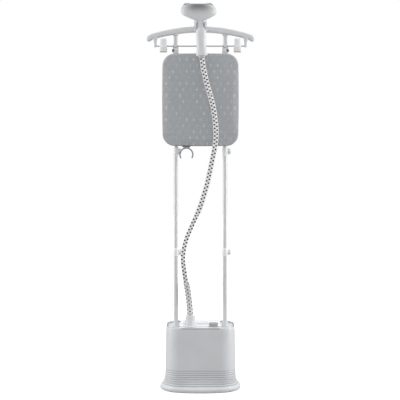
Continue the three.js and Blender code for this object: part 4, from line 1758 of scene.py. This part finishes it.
    def _knob(self) -> None:
        """The steam knob: ribbed round its side, with a pointer on its rim."""
        box = Block.of("steam_knob")
        low, top = self.deck + 0.3, self.deck + 17.3
        profile = [
            (0, low), (17.4, low), (19, low + 0.6), (19, low + 2.2), (18.4, low + 3),
            (18.2, low + 3.2),
        ]
        side = [(18.4, low + 3.3), (18.2, top - 2.6)]
        crown = [
            (17.6, top - 1.4), (16.6, top - 0.6), (15, top - 0.2), (13.4, top - 0.9), (0, top - 1.3)
        ]
        centre = (self.knob_x, self.pole[1], 0)
        form = Form().turn([*profile, (3, low + 3.2)], centre, sides=96)
        form.turn([(17.5, low + 3), *side, *crown], centre, sides=216, ribs=(36, 0.9))
        form.turn([(0, box.low[2]), (3, box.low[2]), (3, low + 1)], centre, sides=24)
        mark = rounded(1.1, 6.2, 1.0, 4) + np.array([self.knob_x, self.pole[1] - 11])
        form.pressed(
            grown(mark), [(0, top - 1.6), (0, top - 0.2), (-0.4, top + 0.4)], raised, paint=1
        )
        fit(form.build("knob", (GREY, GLOSS)), "knob", ["steam_knob"])
        ring = [
            (19.8, low - 0.2), (22.6, low - 0.2), (22.6, low + 0.5), (22.0, low + 0.9),
            (20.4, low + 0.9), (19.8, low + 0.5),
        ]
        form = Form().turn(ring, centre, looped=True, sides=96)
        for i in range(9):
            turn = math.radians(-120 + i * 30)
            middle = np.array(
                [self.knob_x + 26 * math.sin(turn), self.pole[1] - 26 * math.cos(turn)]
            )
            size = 0.5 + 0.09 * i
            form.pressed(
                window((size, size), size, middle, 5, widens=False),
                [(0, low - 0.35), (0, low), (-0.2, low + 0.12)],
                raised,
                paint=1,
            )
        fit(form.build("knob_ring", (LIGHT, DARK)), "base")

    def _connector(self) -> None:
        """The hose connector: a flange, a tall dome, a ribbed grip and a soft lip."""
        box = Block.of("hose_connector")
        low, top = self.deck + 0.3, box.high[2]
        profile = [
            (14.4, 291.5), (4, 291.5), (4, box.low[2]), (7, box.low[2]), (7, low), (26, low),
            (27, low + 0.8), (27, low + 2.4), (26.2, low + 3.6), (24.4, low + 4.4), (22.6, low + 5),
            (21.4, low + 6.2), (20.9, low + 8), (20.3, low + 20), (19.9, top - 13),
            (19.9, top - 12.2), (20.4, top - 11.6), (20.4, top - 4.4), (19.6, top - 2.4),
            (18, top - 0.8), (16.4, top), (15, top - 0.2), (14.4, top - 1),
        ]
        centre = (self.outlet_x, self.pole[1], 0)
        form = Form().turn(profile, centre, looped=True, sides=96)
        for i in range(3):
            height = top - 10.2 + i * 2.4
            bead = ((20.3, -0.7), (20.9, -0.3), (20.9, 0.3), (20.3, 0.7))
            rings = [(r, height + rise) for r, rise in bead]
            form.turn(rings, centre, looped=True, sides=96)
        fit(form.build("connector", LIGHT), "base", ["hose_connector"])

    def _small(self) -> None:
        """The feet and the power inlet's gland."""
        for spot in ("front_left", "front_right", "rear_left", "rear_right"):
            box = Block.of(f"foot_pad_{spot}")
            r, top = box.size[0] / 2, box.high[2]
            profile = [
                (0, 0.9), (r - 5, 0.9), (r - 4.4, 0), (r - 1, 0), (r, 0.8), (r, top - 0.6),
                (r - 0.6, top), (0, top),
            ]
            form = Form().turn(profile, (box.centre[0], box.centre[1], 0))
            fit(form.build(f"foot_{spot}", RUBBER), "base", [f"foot_pad_{spot}"])
        box = Block.of("cord_gland")
        back, end = box.low[1], box.high[1]
        profile = [
            (3.6, back), (10.4, back), (11, back + 0.6), (11, back + 2), (10, back + 2.5),
            (7, back + 2.5),
        ]
        for i in range(5):
            y = back + 5.5 + i * 3.6
            r = 6.9 - 0.35 * i
            profile += [(r, y - 1), (r, y + 0.9), (r - 1.3, y + 1.2), (r - 1.3, y + 2.3)]
        profile = [p for p in profile if p[1] < end - 0.6] + [
            (5.0, end - 0.5), (4.6, end), (3.6, end)
        ]
        form = Form().turn(profile, (box.centre[0], 0, box.centre[2]), Axis.Y, looped=True)
        fit(form.build("gland", RUBBER), "base", ["cord_gland"])

    def _dress(self) -> None:
        """Gives finishes to the pieces that keep their shape in the frame."""
        kept = {
            DARK: ("thermostat", "control_switch", "tank_valve_seat"),
            GREY: ("tank_well",),
            CAST: ("boiler",),
            RUBBER: ("steam_tube", "feed_tube"),
            PIPE: ("steam_pipe",),
        }
        for finish, nodes in kept.items():
            for node in nodes:
                dress(node, finish)


def dress(node: str, finish: Finish) -> None:
    """Gives a frame node a finish.

    Args:
        node: The node's name.
        finish: Its finish.
    """
    made = frame["nodes"][node]
    for place in made.material_slots:
        place.material = finish.material()
    LOG.info("%s keeps its shape", node)


# ---------------------------------------------------------------- poles


@dataclass
class Poles:
    """The telescoping tubes, their lock collars and the flip levers."""

    wall: float = 1.8
    play: float = 0.4
    lever_deep: float = 14
    lever_oval: Point = (7.5, 13.5)

    def build(self) -> None:
        """Makes both poles."""
        for side in Side:
            for stage, body, clear in (
                ("lower", "base", 0.9), ("middle", "middle", 1.0), ("upper", "upper", 1.0)
            ):
                box, r = Block.of(f"{stage}_tube_{side.word}"), POLE_RADII[stage]
                profile = tube_profile(r, r - clear, box.low[2], box.high[2])
                form = Form().turn(
                    profile, (box.centre[0], box.centre[1], 0), looped=True, sides=56
                )
                fit(
                    form.build(f"{stage}_pole_{side.word}", TUBE),
                    body,
                    [f"{stage}_tube_{side.word}"],
                )
            self._lock("lower", side, "base", POLE_RADII["lower"], POLE_RADII["middle"])
            self._lock("upper", side, "middle", POLE_RADII["middle"], POLE_RADII["upper"])

    def _lock(self, stage: str, side: Side, body: str, outer: float, inner: float) -> None:
        """One lock: its collar with two ears, and its lever.

        Args:
            stage: Which joint of the pole it holds.
            side: Which pole it is on.
            body: The body that the collar rides on.
            outer: The radius of the tube that it is clamped to.
            inner: The radius of the tube that slides in it.
        """
        box = Block.of(f"{stage}_lock_{side.word}")
        x, y = side.value * POLE_X, POLE_Y
        low, top = box.low[2], box.high[2]
        bore, wall = outer + self.play, outer + self.play + self.wall
        shelf = top - 8 + self.play
        profile = [
            (bore, low), (wall - 0.8, low), (wall, low + 0.8), (wall, low + 6),
            (wall - 0.7, low + 6.6), (wall - 0.7, low + 7.6), (wall, low + 8.2), (wall, top - 6),
            (wall - 0.3, top - 4), (wall - 1.2, top - 1.6), (wall - 2.6, top - 0.4),
            (wall - 3.4, top), (inner + self.play, top), (inner + self.play, shelf), (bore, shelf),
        ]
        form = Form().turn(profile, (x, y, 0), looped=True, sides=64)
        pivot = np.array([x + wall + 4.6, y, (low + top) / 2 - 9.5])
        half = self.lever_deep / 2
        for y0, y1 in ((-half, -half + 3), (half - 3, half)):
            spots = ((-7, -3.2), (3.2, -3.2), (3.2, 3.2), (-7, 3.2))
            ear = filleted([(pivot[0] + h, pivot[2] + v) for h, v in spots], 3, 6)
            form.pressed(grown(ear), soft_edge(y + y0, y + y1, 0.5), upright)
        fit(
            form.build(f"{stage}_collar_{side.word}", LOCK),
            body,
            [f"{stage}_lock_{side.word}"],
        )

        centre = np.array([pivot[0] + 0.5, pivot[2] - 4 + self.lever_oval[1]])
        oval = centre + circle(1, 72) * np.array(self.lever_oval)
        oval[:, 0] = np.maximum(oval[:, 0], x + wall + 0.6)
        near = (oval[:, 0] < pivot[0]) & (oval[:, 1] < pivot[2])
        way = oval - pivot[[0, 2]]
        reach = np.linalg.norm(way, axis=1)
        kept = np.minimum(reach, 3.6) / np.maximum(reach, 1e-6)
        oval[near] = pivot[[0, 2]] + (way * kept[:, None])[near]
        lever = Form()
        lever.pressed(grown(oval), soft_edge(y - 3.6, y + 3.6, 0.3), upright)
        upper = oval.copy()
        upper[:, 1] = np.maximum(upper[:, 1], pivot[2] + 4.2)
        for outer_y, inner_y in ((-half, -3.4), (half, 3.4)):
            edge = soft_edge(y + outer_y, y + inner_y, 1.6)
            lever.pressed(grown(upper), edge[:9], upright)
        spots = ((6.6, 1), (8.1, 2.5), (7.2, 8), (4, 8))
        ridge = filleted([(centre[0] + h, centre[1] + v) for h, v in spots], 1, 3)
        lever.pressed(grown(ridge), soft_edge(y - 5, y + 5, 0.8), upright)
        fit(
            lever.build(f"{stage}_flip_{side.word}", CLIP),
            f"{stage}_lever_{side.word}",
            [f"{stage}_lever_{side.word}"],
        )


# ---------------------------------------------------------------- hanger and clips


@dataclass
class Hanger:
    """The arched hanger bar, the clip rail under it and the two garment clips."""

    half: float = 226.5
    deep: float = 34
    tall: float = 25
    middle: float = 1515
    fall: float = 36
    tip: float = 7
    pole: Point = (POLE_X, POLE_Y)
    arm_x: float = 188
    clip_x: float = 154.6
    arm: Sequence[Point] = (
        (2.6, 2.8, -5, 0),
        (4, 4.2, -4.4, 0),
        (4.8, 5, -2.5, 0),
        (5.2, 5, 8, 0.3),
        (6.2, 5, 18, 0.8),
        (8.4, 5.1, 28, 1.4),
        (11, 5.2, 34, 2),
        (14, 5.2, 40, 2.4),
    )

    def arch(self, x: np.ndarray) -> np.ndarray:
        """The height of the bar's middle line.

        Args:
            x: Places along the bar.

        Returns:
            The height at each.
        """
        share = abs(x) / (self.half - self.tip)
        droop = np.clip((share - 0.93) / 0.07, 0, 1) ** 1.5
        return self.middle - self.fall * share**2 - self.tip * droop

    def build(self) -> None:
        """Makes the bar, the rail and the clips."""
        self._bar()
        self._rail()
        for side in Side:
            self._clip(side)

    def _bar(self) -> None:
        """The bar: a hollow-backed arch with rounded tips and an arm at each end."""
        x = np.linspace(-self.half + 1.5, self.half - 1.5, 141)
        path = np.column_stack([x, np.full(len(x), float(self.pole[1])), self.arch(x)])
        section = rounded(self.deep / 2, self.tall / 2, 6.5, 6)
        ease = 15.0 / (2 * self.half)

        def cut(reach: float) -> np.ndarray:
            """The bar's section, smaller at its tips.

            Args:
                reach: The share of the bar's length.

            Returns:
                One row a point.
            """
            near = min(reach, 1 - reach) / ease
            size = 1.0 if near >= 1 else math.sqrt(max(1 - (1 - near) ** 2, 0.0)) * 0.86 + 0.14
            thin = 1 - 0.1 * abs(2 * reach - 1) ** 3
            return section * np.array([0.55 + 0.45 * size, size * thin])

        form = Form().sweep(path, cut, up=(0, 0, 1))
        for sign in (-1, 1):
            rings = []
            for half_x, half_y, rise, lean in self.arm:
                flat = rounded(half_x, half_y, min(half_x, half_y) * 0.62, 6)
                spot = np.array([sign * (self.arm_x + lean), RAIL_Y])
                rings.append(raised(flat + spot, RAIL_Z + rise))
            form.loft(rings)
        bore, tools = SOCKET_RADIUS, []
        for sign in (-1, 1):
            hole = Form().turn(
                [(bore, 1440), (bore, 1503.3)], (sign * self.pole[0], self.pole[1], 0)
            )
            tools.append(hole.build("hole", BAR))
        fit(
            carve(form.build("bar", BAR, sharp=45), *tools, sharp=45),
            "upper",
            ["hanger_bar"],
        )
        for side in Side:
            profile = [(bore, 1489), (11.4, 1489), (12, 1489.6), (12.4, 1497), (bore, 1497)]
            made = Form().turn(profile, (side.value * self.pole[0], self.pole[1], 0), looped=True)
            fit(made.build(f"bar_socket_{side.word}", BAR), "upper")

    def _rail(self) -> None:
        """The thin steel rail and its bosses on the poles."""
        y, z, r, bore = RAIL_Y, RAIL_Z, RAIL_RADIUS, SOCKET_RADIUS
        end = self.arm_x + 2
        profile = [
            (0, -end), (r - 0.5, -end), (r, -end + 0.5), (r, end - 0.5), (r - 0.5, end), (0, end)
        ]
        form = Form().turn(profile, (0, y, z), Axis.X, sides=28)
        for sign in (-1, 1):
            boss = [
                (bore, z - 6), (11.2, z - 6), (11.6, z - 5.4), (11.6, z + 5.4), (11.2, z + 6),
                (bore, z + 6),
            ]
            form.turn(boss, (sign * self.pole[0], self.pole[1], 0), looped=True, paint=1)
            ear = [(0, -7), (4.2, -7), (4.6, -6.4), (4.6, 6.4), (4.2, 7), (0, 7)]
            form.turn(ear, (sign * self.pole[0], y, z), Axis.X, sides=32, paint=1)
        fit(form.build("rail", (RAIL, BAR)), "upper", ["clip_rail"])

    def _clip(self, side: Side) -> None:
        """One garment clip: a front and a back jaw about the rail, with ribbed pads.

        Args:
            side: Which end of the rail it is on.
        """
        cx = side.value * self.clip_x
        y0, z0 = RAIL_Y, RAIL_Z
        top, low = 13.5, 16
        right = [(low - 1, -26.5), (low, -24), (low, -8), (top, 3), (top - 0.4, 31)]
        left = [(-x, z) for x, z in reversed(right)]
        flat = filleted([left[-1], *right, *left[:-1]], 4.2, 5)
        for face, word, body in (
            (-1, "front", f"clip_{side.word}_jaw"), (1, "back", f"clip_{side.word}")
        ):
            knots = (
                (-27, 2.0), (-20, 2.6), (-9, 5.5), (-2, 7.3), (8, 7.4), (18, 8.6), (31.5, 11.0)
            )

            def shell(offset: float, out: float) -> np.ndarray:
                """The jaw's outline on its curved face.

                Args:
                    offset: How far the outline is moved outwards.
                    out: How far it stands out from the face.

                Returns:
                    One row a point.
                """
                spots = grown(flat)(offset)
                depth = eased(
                    knots, np.clip(spots[:, 1], -27, 31.5)
                ) + out - 0.012 * spots[:, 0] ** 2
                return np.column_stack([cx + spots[:, 0], y0 + face * depth, z0 + spots[:, 1]])

            rings = [
                shell(-1.6, -1.5),
                shell(-0.2, -1.45),
                shell(0, -1.0),
                shell(0, 0.6),
                shell(-0.3, 1.2),
                shell(-1, 1.5),
                shell(-2.2, 1.65),
            ]
            rim = rings[-1]
            middle = np.array([cx, y0 + face * 9.0, z0 + 3.0])
            for share in (0.8, 0.55, 0.3, 0.1):
                inner = middle + (rim - middle) * share
                inner[:, 1] = y0 + face * (
                    eased(
                        knots, np.clip(inner[:, 2] - z0, -27, 31.5)
                    ) + 1.7 - 0.012 * (inner[:, 0] - cx) ** 2
                )
                rings.append(inner)
            form = Form().loft(rings)
            for i in range(4):
                z = z0 + 12 + i * 4.2
                out = eased_at(knots, z - z0) + 1.5
                bar = rounded(7.5 - 0.6 * i, 0.8, 0.75, 4) + np.array([cx, z])
                form.pressed(
                    grown(bar),
                    [
                        (0, y0 + face * (out - 0.6)), (0, y0 + face * (out + 0.35)),
                        (-0.4, y0 + face * (out + 0.75)),
                    ],
                    upright,
                )
            spans = [(-5.8, 5.8)] if face < 0 else [(-12.3, -6.6), (6.6, 12.3)]
            for a, b in spans:
                form.turn(
                    [(2.9, a), (4.9, a), (5.3, a + 0.4), (5.3, b - 0.4), (4.9, b), (2.9, b)],
                    (cx, y0, z0),
                    Axis.X,
                    looped=True,
                    sides=32,
                )
                web = rounded((b - a) / 2 - 0.2, 3.8, 0.8, 3) + np.array([cx + (a + b) / 2, z0])
                form.pressed(grown(web), [(0, y0 + face * 3.4), (0, y0 + face * 7.0)], upright)
            for i in range(3):
                z = z0 - 24.8 + i * 2
                pad = rounded(13, 0.75, 0.6, 3) + np.array([cx, z])
                form.pressed(
                    grown(pad),
                    [(0, y0 + face * 2.2), (0, y0 + face * 0.8), (-0.3, y0 + face * 0.5)],
                    upright,
                    paint=1,
                )
            fit(
                form.build(f"jaw_{word}_{side.word}", (CLIP, GREY)),
                body,
                [f"clip_{word}_{side.word}"],
            )


# ---------------------------------------------------------------- pressing board


@dataclass
class Board:
    """The pressing board: panel, padded cover, binding, brackets and the accessory clip."""

    half_x: float = 158.9
    low: float = 1027
    high: float = 1412.5
    corner: float = 48
    bulge: float = 2
    back: float = -58
    pad_inset: float = -0.2
    pad_back: float = -64.4
    pad_front: float = -71.5
    swell: float = 5.6
    binding_y: float = -64.8
    ring_x: float = -58.8
    ring_y: float = -66.0
    ring_radius: float = 27
    moments: int = 20

    def outline(self, offset: float) -> np.ndarray:
        """The board's outline in X and Z.

        Args:
            offset: How far it is moved outwards.

        Returns:
            One row a point.
        """
        half_x, half_z = self.half_x - self.bulge, (self.high - self.low) / 2 - self.bulge
        flat = dense(rounded(half_x + offset, half_z + offset, self.corner + offset, 14), 9)
        swell_x = np.clip(1 - (flat[:, 1] / half_z) ** 2, 0, 1) * self.bulge
        swell_z = np.clip(1 - (flat[:, 0] / half_x) ** 2, 0, 1) * self.bulge
        flat = flat + np.column_stack(
            [np.sign(flat[:, 0]) * swell_x, np.sign(flat[:, 1]) * swell_z]
        )
        return flat + np.array([0, (self.high + self.low) / 2])

    def build(self) -> None:
        """Makes every piece of the board."""
        edge = soft_edge(self.back, self.back - 6, 1.6)
        panel = Form().pressed(lambda offset: self.outline(offset - 1.6), edge, upright)
        for i in range(5):
            z = self.low + 60 + i * 62
            rib = rounded(118, 2.2, 2.0, 4) + np.array([0, z])
            panel.pressed(
                grown(rib),
                [(0, self.back - 0.5), (0, self.back + 0.2), (-1.2, self.back + 1.6)],
                upright,
            )
        fit(panel.build("panel", DARK), "upper", ["board_panel"])
        self._pad()
        path = upright(self.outline(-1.2), self.binding_y)
        ring = circle(1.35, 12)
        closed = np.vstack([path, path[:2]])
        form = Form().sweep(closed, lambda reach: ring, up=(0, 1, 0))
        fit(form.build("board_binding", BINDING, sharp=70), "upper")
        self._brackets()
        self._ring()

    def _pad(self) -> None:
        """The padded cover: a slab that cloth pressure swells against the flat panel.

        No point moves further than the swell.
        """
        edge = soft_edge(self.pad_back, self.pad_front, 2.4)
        slab = Form().pressed(lambda offset: self.outline(offset - self.pad_inset), edge, upright)
        made = slab.build("pad", CLOTH, sharp=70)
        remesh = made.modifiers.new("even", "REMESH")
        remesh.mode, remesh.voxel_size, remesh.use_smooth_shade = "VOXEL", 0.005, True
        settled(made)
        start = np.array([v.co for v in made.data.vertices])
        cloth = made.modifiers.new("swell", "CLOTH")
        cloth.settings.quality = 6
        cloth.settings.mass = 0.2
        cloth.settings.tension_stiffness = 60
        cloth.settings.compression_stiffness = 60
        cloth.settings.bending_stiffness = 1.2
        cloth.settings.use_pressure = True
        cloth.settings.uniform_pressure_force = 0.8
        cloth.settings.effector_weights.gravity = 0
        cloth.point_cache.frame_end = self.moments
        for moment in range(1, self.moments + 1):
            bpy.context.scene.frame_set(moment)
        settled(made)
        bpy.context.scene.frame_set(1)
        spots = np.array([v.co for v in made.data.vertices])
        move = spots - start
        far = np.linalg.norm(move, axis=1)
        cap = self.swell * MM
        move *= (np.minimum(far, cap) / np.maximum(far, 1e-9))[:, None]
        spots = start + move
        spots[:, 1] = np.minimum(spots[:, 1], self.pad_back * MM)
        made.data.vertices.foreach_set("co", spots.ravel())
        finer = made.modifiers.new("finer", "SUBSURF")
        finer.levels = finer.render_levels = 1
        settled(made)
        made.data.materials.clear()
        made.data.materials.append(CLOTH.material())
        made.data.polygons.foreach_set("use_smooth", [True] * len(made.data.polygons))
        fit(made, "upper", ["board_pad"])

    def _brackets(self) -> None:
        """The two brackets that hold the board to the upper tubes."""
        for side in Side:
            x, y, bore = side.value * POLE_X, POLE_Y, SOCKET_RADIUS
            box = Block.of(f"board_bracket_{side.word}")
            low, high = box.low[2], box.high[2]
            form = Form().turn(
                [
                    (bore, high - 22), (12, high - 22), (12.4, high - 21.4), (12.4, high - 0.6),
                    (12, high), (bore, high),
                ],
                (x, y, 0), looped=True,
            )
            tongue = rounded(8, (high - low) / 2, 3, 5) + np.array([x, (high + low) / 2])
            form.pressed(grown(tongue), soft_edge(-57.7, -50.2, 0.8), upright)
            fit(
                form.build(f"bracket_{side.word}", BAR),
                "upper",
                [f"board_bracket_{side.word}"],
            )
            screw = [(0, -1.6), (4.6, -1.6), (5.6, -1.2), (6.6, 1.5), (7, 9), (7, 16)]
            knob = Form().turn(
                [(r, -57.6 + 1.4 + h) for r, h in screw],
                (x + side.value * 9, 0, high - 11),
                Axis.Y,
                sides=40,
            )
            fit(knob.build(f"bracket_screw_{side.word}", BRACKET), "upper")

    def _ring(self) -> None:
        """The open ring under the board that holds the brush."""
        box = Block.of("accessory_clip")
        cx, cz, y = self.ring_x, self.low - 35, self.ring_y
        turns = np.radians(np.linspace(-36, 216, 64))
        arc = np.column_stack([np.cos(turns), np.sin(turns)]) * self.ring_radius
        path = upright(arc + np.array([cx, cz]), y)
        section = rounded(3, 6, 2.4, 5)

        def taper(reach: float) -> np.ndarray:
            """The ring's section, rounded off at its tips.

            Args:
                reach: The share of the ring's length.

            Returns:
                One row a point.
            """
            near = min(reach, 1 - reach) / 0.04
            return section * (
                1.0 if near >= 1 else 0.35 + 0.65 * math.sqrt(max(near * (2 - near), 0))
            )

        form = Form().sweep(path, taper, up=(0, 1, 0))
        right = [(10, cz + 26.5), (13, self.low - 5), (20, self.low - 0.3)]
        left = [(-x, z) for x, z in reversed(right)]
        seat = filleted([(cx + x, z) for x, z in (left[-1], *right, *left[:-1])], 3, 4)
        form.pressed(grown(seat), soft_edge(y - 6, box.high[1], 1.2), upright)
        tongue = rounded(14, 16, 3, 4) + np.array([cx, self.low + 10])
        form.pressed(grown(tongue), soft_edge(-57.7, box.high[1], 0.8), upright)
        fit(form.build("brush_clip", RING, sharp=50), "upper", ["accessory_clip"])


# ---------------------------------------------------------------- handset


@dataclass
class Handset:
    """The steam handset, its steam plate and cuff, and the cradle that holds it."""

    spot: Point = (5.8, -99, 1400)
    lean: float = -4.2
    sections: Sequence[Point] = (
        (0, 24.5, -19.5, 19.5),
        (10, 22.8, -19, 19),
        (50, 19.2, -17, 17),
        (96, 20.6, -17.5, 17.5),
        (104, 20, -17, 17),
        (112, 14.6, -14.5, 14.5),
        (118, 13.4, -14, 14),
        (139, 13, -14, 14),
        (144.5, 14, -14.2, 14.6),
        (147, 20, -14.8, 15),
        (151, 32, -16, 17),
        (156, 43, -17.6, 20),
        (162, 54.5, -19.6, 25.5),
        (168, 65, -21.4, 31),
        (174, 71, -22.8, 36.5),
        (182, 73.4, -23.6, 42),
        (191, 73.6, -23.4, 44),
        (199, 71, -21.5, 44),
        (206, 66, -18, 43),
        (212, 60, -13.5, 41),
        (217, 53, -8.5, 40),
    )
    bow: Sequence[Point] = (
        (-10, 0), (0, 0), (60, 1.5), (115, 4.0), (135, 3.6), (185, 0.2), (230, 0)
    )
    power: float = 2.5
    face_y: float = 17
    face_z: float = 191
    face_tilt: float = 35
    seam: float = 0.2

    def placed(self, points: np.ndarray) -> np.ndarray:
        """Puts the handset's points into the row frame: the grip leans and the head stays level.

        Args:
            points: One row a point, in the handset's own frame.

        Returns:
            The same points in the row frame.
        """
        points = np.asarray(points, float)
        a = math.radians(self.lean)
        turn = np.array([[math.cos(a), 0, math.sin(a)], [0, 1, 0], [-math.sin(a), 0, math.cos(a)]])
        moved = points @ turn.T + np.array(self.spot)
        z = points[:, 2]
        level = np.clip((z - 110) / 40, 0, 1)
        moved[:, 2] += points[:, 0] * math.sin(a) * level
        moved[:, 0] += eased(self.bow, np.clip(z, self.bow[0][0], self.bow[-1][0]))
        return moved

    def size(self, z: float) -> tuple[float, float, float]:
        """The size of the section at a height.

        Args:
            z: The height above the handset's foot.

        Returns:
            Its half width, front and back.
        """
        knots = np.array(self.sections, float)
        return tuple(eased_at(knots[:, [0, k]], z) for k in (1, 2, 3))

    def face(self) -> tuple[np.ndarray, np.ndarray, np.ndarray]:
        """Where the steam face is.

        Returns:
            Its middle, the direction up along it and the direction out of it.
        """
        tilt = math.radians(self.face_tilt)
        along = np.array([0, -math.sin(tilt), math.cos(tilt)])
        out = np.array([0, math.cos(tilt), math.sin(tilt)])
        return np.array([0, self.face_y, self.face_z]), along, out

    def ring(self, z: float, front: bool, columns: int = 44) -> np.ndarray:
        """One half of the section at a height, from the right-hand seam round to the left.

        Args:
            z: The height above the handset's foot.
            front: Whether it is the front half.
            columns: How many points it has.

        Returns:
            One row a point, with a lip at each end that turns in at the seam.
        """
        half_x, near, far = self.size(z)
        centre, half_y = (near + far) / 2, (far - near) / 2
        share = 2 / self.power
        cut = -np.sign(centre) * (abs(centre) / half_y) ** (1 / share)
        start = math.asin(max(-0.98, min(0.98, cut)))
        turns = np.linspace(start, (-math.pi if front else math.pi) - start, columns)
        x = half_x * np.sign(np.cos(turns)) * abs(np.cos(turns)) ** share
        y = centre + half_y * np.sign(np.sin(turns)) * abs(np.sin(turns)) ** share
        slope = math.tan(math.radians(self.face_tilt))
        y = np.minimum(y, self.face_y - (z - self.face_z) * slope - 0.05)
        y = np.minimum(y, -self.seam) if front else np.maximum(y, self.seam)
        inside = [(x[0] - 2.2, y[0]), *zip(x, y), (x[-1] + 2.2, y[-1])]
        flat = np.array(inside)
        return np.column_stack([flat, np.full(len(flat), z)])

    def build(self) -> None:
        """Makes the handset and its cradle."""
        parts = [np.linspace(0, 10, 6), np.arange(12, 146, 3.0), np.arange(146, 217.1, 1.25)]
        for front, word in ((True, "front"), (False, "rear")):
            rows = [self.ring(float(z), front) for z in np.concatenate(parts)]
            rows[0] = self._shrunk(rows[0], 1.2, 0)
            last = rows[-1]
            rows += [
                self._shrunk(last, 1.2, 0.9),
                self._shrunk(last, 3.2, 1.6),
                self._shrunk(last, 7, 1.9),
            ]
            form = Form().loft([self.placed(r) for r in rows])
            fit(
                form.build(f"shell_{word}", HEAD, sharp=42),
                "handset",
                [f"handset_{word}"],
            )
        self._plate()
        self._cuff()
        self._cradle()

    def _shrunk(self, ring: np.ndarray, inset: float, rise: float) -> np.ndarray:
        """A ring drawn in towards its middle and lifted.

        Args:
            ring: One row a point.
            inset: How far its outermost points move in.
            rise: How far it is lifted.

        Returns:
            One row a point.
        """
        middle = ring.mean(axis=0)
        span = np.maximum(ring.max(axis=0) - ring.min(axis=0), 1e-6) / 2
        scale = np.maximum(1 - inset / span, 0.05)
        scale[2] = 1
        return (ring - middle) * scale + middle + np.array([0, 0, rise])

    def _edge(self, offset: float, steps: int = 120) -> np.ndarray:
        """The outline of the handset where the steam face cuts it.

        Args:
            offset: How far it is moved outwards.
            steps: How many points it has.

        Returns:
            One row a point, in the face's own plane.
        """
        origin, along, _ = self.face()
        found = []
        for turn in np.linspace(0, 2 * math.pi, steps, endpoint=False):
            way = np.array([math.cos(turn), 0, 0]) + along * math.sin(turn)
            low, high = 0.0, 90.0
            for _ in range(30):
                reach = (low + high) / 2
                x, y, z = origin + way * reach
                inside = False
                if 100 < z < 217:
                    half_x, near, far = self.size(z)
                    aside, deep = x / half_x, (y - (near + far) / 2) / ((far - near) / 2)
                    inside = abs(aside) ** self.power + abs(deep) ** self.power < 1
                low, high = (reach, high) if inside else (low, reach)
            found.append((low + offset) * np.array([math.cos(turn), math.sin(turn)]))
        return np.array(found)

    def _plate(self) -> None:
        """The steam plate: a dark gasket, a brushed plate and its seven ports."""
        origin, along, out = self.face()
        across = np.array([1, 0, 0])

        def lay(flat: np.ndarray, height: float) -> np.ndarray:
            """Puts an outline in the face's plane into the row frame.

            Args:
                flat: One row a point.
                height: How far it stands out of the plane.

            Returns:
                One row a point.
            """
            spots = origin + flat[:, :1] * across + flat[:, 1:] * along + height * out
            return self.placed(spots)

        shape = grown(self._edge(0))
        gasket = Form().pressed(shape, [(-0.6, 0.05), (-0.3, 0.3), (-0.3, 1.2), (-0.8, 1.5)], lay)
        fit(gasket.build("plate_gasket", RING), "handset")
        plate = Form().pressed(
            shape,
            [
                (-1.2, 1.5), (-1.0, 1.9), (-1.1, 3.2), (-1.7, 3.75), (-2.6, 3.8), (-5.5, 3.75),
                (-6.2, 3.3), (-6.8, 3.2),
            ],
            lay
        )
        made = plate.build("plate", PLATE, sharp=32)
        tools = []
        for x in (-48, -32, -16, 0, 16, 32, 48):
            hole = Form().pressed(
                window((2.4, 4.2), 2.3, (x, 0), 6),
                [(0, 2.2), (0, 2.9), (0.5, 3.25), (0.5, 5)],
                lay,
            )
            tools.append(hole.build("port", DARK))
        fit(carve(made, *tools, sharp=32), "handset", ["steam_plate"])

    def _cuff(self) -> None:
        """The cuff where the hose enters the handle."""
        profile = [
            (0, -8), (11.4, -8), (12.6, -7.6), (13.1, -6.8), (13.9, -4.6), (13.2, -4.2),
            (13.5, -3.6), (14.4, -3.2), (15, -1.6), (15, -0.4), (6.6, -0.3), (6.6, 8), (0, 8),
        ]
        form = Form().turn(profile, sides=72)
        form.points = [self.placed(p) for p in form.points]
        fit(form.build("cuff", LIGHT), "handset", ["hose_cuff"])

    def _cradle(self) -> None:
        """The cradle: a fork on the hanger bar that the handset's neck rests in."""
        box = Block.of("handset_cradle")
        low, high = box.low[2], box.high[2]
        front, back = box.low[1], box.high[1]
        form = Form()
        for sign in (-1, 1):
            flat = filleted(
                [
                    (front, 1516), (back - 1, 1514), (back - 1, high), (front + 6, high),
                    (front, high - 5),
                ],
                5,
                5,
            )
            rings = [(-0.9, 19.0), (-0.25, 19.2), (0, 19.9), (0, 26.1), (-0.25, 26.8), (-0.9, 27.0)]
            form.loft([self._sideways(grown(flat)(o), sign * x) for o, x in rings])
        plate = rounded(27, (high - low) / 2, 6, 6) + np.array([0, (high + low) / 2])
        form.pressed(grown(plate), soft_edge(back, back - 5, 1.2), upright)
        fit(form.build("cradle", GLOSS), "upper", ["handset_cradle"])

    def _sideways(self, flat: np.ndarray, x: float) -> np.ndarray:
        """An outline in Y and Z at a place along X."""
        return np.column_stack([np.full(len(flat), float(x)), flat])


# ---------------------------------------------------------------- assembly


def main() -> None:
    """Builds the steamer from the camera to the last cover."""
    logging.basicConfig(level=logging.INFO, format="%(message)s")
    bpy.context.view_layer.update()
    Studio().build()
    Hose().build()
    Base().build()
    Poles().build()
    Hanger().build()
    Board().build()
    Handset().build()


if __name__ == "__main__":
    main()
